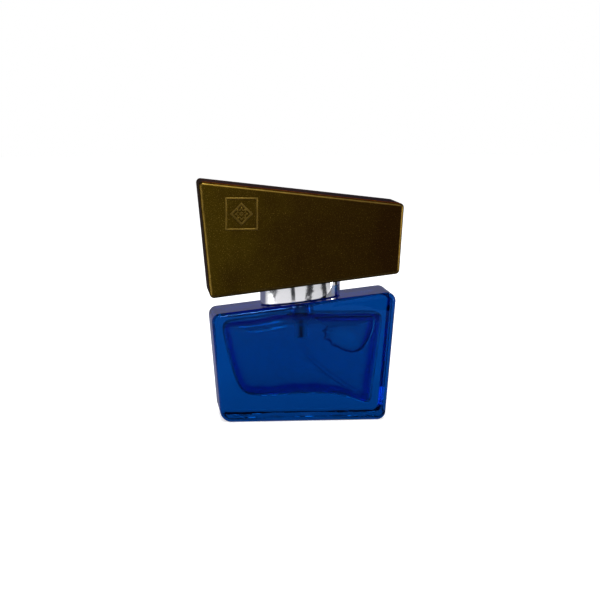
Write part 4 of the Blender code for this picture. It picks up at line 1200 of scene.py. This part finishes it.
class BOTTLE_OT_stage(bpy.types.Operator):
    """Set the pale floor, the soft lights and the camera"""

    bl_idname = "bottle.stage"
    bl_label = "Stage"

    def execute(self, context):
        settings = context.scene.bottle_stage
        self.set_world(context.scene, settings)
        self.lay_floor(settings)
        self.hang_lights()
        self.stand_cards()
        self.place_camera(context.scene, settings)
        context.scene.view_settings.view_transform = "Standard"
        return {"FINISHED"}

    def ray_kinds(self, nodes):
        """Three signals, each 1 for its own rays: the camera's, mirrored ones and refracted ones."""
        paths = nodes.tree.nodes.new("ShaderNodeLightPath")
        kinds = ("Is Camera Ray", "Is Glossy Ray", "Is Transmission Ray")
        return [Signal(nodes, paths.outputs[kind]) for kind in kinds]

    def set_world(self, scene, settings):
        """White where it is seen; mirrored, it has a dark ceiling and a dim back; as light it is plain."""
        world = bpy.data.worlds.new("studio")
        world.use_nodes = True
        scene.world = world
        nodes = Nodes(world.node_tree)
        camera, glossy, through = self.ray_kinds(nodes)
        mirrored = glossy * (1.0 - through)
        room = nodes.ramp(nodes.along("Z", "Generated"), (0.40, 1.0), (0.60, settings.ceiling))
        behind = nodes.ramp(0.5 + 0.5 * nodes.along("Y", "Generated"), (0.48, 0.0), (0.62, 1.0))
        plain = settings.air * (1.0 - (camera + mirrored + through).at_most(1.0))
        background = world.node_tree.nodes["Background"]
        colour = nodes.blend(mirrored * behind, (1.0, 1.0, 1.0), settings.backdrop)
        nodes.plug(background.inputs["Color"], colour)
        nodes.plug(background.inputs["Strength"], plain + camera + (mirrored + through) * room)

    def lay_floor(self, settings):
        """A wide pale sheet; what is seen of it is lifted to white."""
        shape = bmesh.new()
        bmesh.ops.create_grid(shape, x_segments=24, y_segments=24, size=3.0)
        floor = new_object("floor", new_mesh("floor", shape))
        floor.location.z = CAD_BOX[0].z - 0.1 * MM
        finish = Finish("pale floor", roughness=0.9)
        finish.set(normal=finish.bump(finish.noise(60.0, 4.0), 0.05 * MM), emission_strength=1.0)
        camera, glossy, through = self.ray_kinds(finish)
        from_middle = {0: finish.place()}
        radius = finish.add("ShaderNodeVectorMath", {"operation": "LENGTH"}, from_middle, out="Value")
        dim = (8.0 * finish.along("Y")).at_least(2.0 - 5.0 * radius).at_most(1.0).at_least(0.0)
        mirrored = glossy * (1.0 - through)
        seen = (camera + through).at_most(1.0)
        finish.set(base_color=finish.blend(mirrored * dim, settings.floor, settings.backdrop))
        finish.set(emission_color=finish.blend(seen, (0.0, 0.0, 0.0), (0.62, 0.62, 0.62)))
        floor.data.materials.append(finish.material)

    def hang_lights(self):
        for name, place, aim, size, power in (
            ("key", (-0.08, -0.40, 0.52), (-0.02, 0, 0.08), (0.14, 0.16), 1.8),
            ("bar", (0.05, -0.45, 0.56), (0, 0, 0.06), (0.5, 0.06), 0.4),
            ("left strip", (-0.45, -0.2, 0.07), (0, 0, 0.05), (0.12, 0.13), 0.8),
            ("right strip", (0.45, -0.14, 0.07), (0, 0, 0.05), (0.08, 0.13), 0.4),
            ("back top", (0.2, 0.9, 0.9), (0, 0, 0.05), (0.8, 0.4), 5.0),
        ):
            light = bpy.data.lights.new(name, "AREA")
            light.shape = "RECTANGLE"
            light.size, light.size_y = size
            light.energy = power
            lamp = new_object(name, light)
            lamp.location = place
            lamp.rotation_euler = (Vector(aim) - Vector(place)).to_track_quat("-Z", "Y").to_euler()

    def stand_cards(self):
        """Dark cards that only reflections see, which give bright metal its dark streaks."""
        away, strips = 0.4, 8  # each card is bent round the bottle, between the bearings given
        finish = Finish("black card", base_color=(0.02, 0.02, 0.022), roughness=0.8)
        for name, foot, top in (
            ("front left card", (-9.0, -3.0), (-13.5, -5.0)),
            ("front right card", (8.0, 17.0), (12.0, 24.0)),
            ("right card", (41.0, 54.0), (34.0, 49.0)),
            ("far right card", (92.0, 112.0), (92.0, 112.0)),
            ("left card", (-52.0, -50.0), (-98.0, -34.0)),
        ):
            shape = bmesh.new()
            rows = []
            for z, (start, end) in ((0.0, foot), (0.004, foot), (0.017, top), (0.25, top)):
                turns = [radians(start + (end - start) * step / strips) for step in range(strips + 1)]
                rows.append([shape.verts.new((away * sin(t), -away * cos(t), z)) for t in turns])
            for low, high in zip(rows, rows[1:]):
                for index in range(strips):
                    shape.faces.new((low[index], low[index + 1], high[index + 1], high[index]))
            card = new_object(name, new_mesh(name, shape), finish.material)
            for kind in ("camera", "diffuse", "transmission", "shadow"):
                setattr(card, f"visible_{kind}", False)

    def place_camera(self, scene, settings):
        data = bpy.data.cameras.new("camera")
        data.lens = settings.lens
        data.sensor_width = 36.0
        data.clip_start = 0.01
        camera = new_object("camera", data)
        level, azimuth = cos(settings.elevation), settings.azimuth
        back = Vector((sin(azimuth) * level, -cos(azimuth) * level, sin(settings.elevation)))
        camera.location = Vector((0, 0, settings.aim_height)) + settings.distance * back
        camera.rotation_euler = (-back).to_track_quat("-Z", "Y").to_euler()
        scene.camera = camera


class BOTTLE_PT_pieces(bpy.types.Panel):
    bl_label = "Aftershave bottle"
    bl_idname = "BOTTLE_PT_pieces"
    bl_space_type = "VIEW_3D"
    bl_region_type = "UI"
    bl_category = "Bottle"

    def draw(self, context):
        for operator in OPERATORS:
            self.layout.operator(operator.bl_idname, text=operator.bl_label)
        for name in SETTINGS:
            box = self.layout.box()
            group = getattr(context.scene, name)
            for prop in group.bl_rna.properties:
                if prop.identifier not in ("rna_type", "name"):
                    box.prop(group, prop.identifier)


SETTINGS = {
    "bottle_flask": FlaskSettings,
    "bottle_liquid": LiquidSettings,
    "bottle_collar": CollarSettings,
    "bottle_cap": CapSettings,
    "bottle_pump": PumpSettings,
    "bottle_stage": StageSettings,
}
OPERATORS = (
    BOTTLE_OT_stage,
    BOTTLE_OT_flask,
    BOTTLE_OT_liquid,
    BOTTLE_OT_closure,
    BOTTLE_OT_pump,
    BOTTLE_OT_springs,
    BOTTLE_OT_dip_tube,
    BOTTLE_OT_actuator,
    BOTTLE_OT_collar,
    BOTTLE_OT_cap_shell,
    BOTTLE_OT_cap_insert,
)


def register():
    for made in (*SETTINGS.values(), *OPERATORS, BOTTLE_PT_pieces):
        bpy.utils.register_class(made)
    for name, group in SETTINGS.items():
        setattr(bpy.types.Scene, name, bpy.props.PointerProperty(type=group))


def unregister():
    for name in SETTINGS:
        delattr(bpy.types.Scene, name)
    for made in reversed((*SETTINGS.values(), *OPERATORS, BOTTLE_PT_pieces)):
        bpy.utils.unregister_class(made)


def main():
    register()
    for operator in OPERATORS:
        group, name = operator.bl_idname.split(".")
        getattr(getattr(bpy.ops, group), name)()


if __name__ == "__main__":
    main()
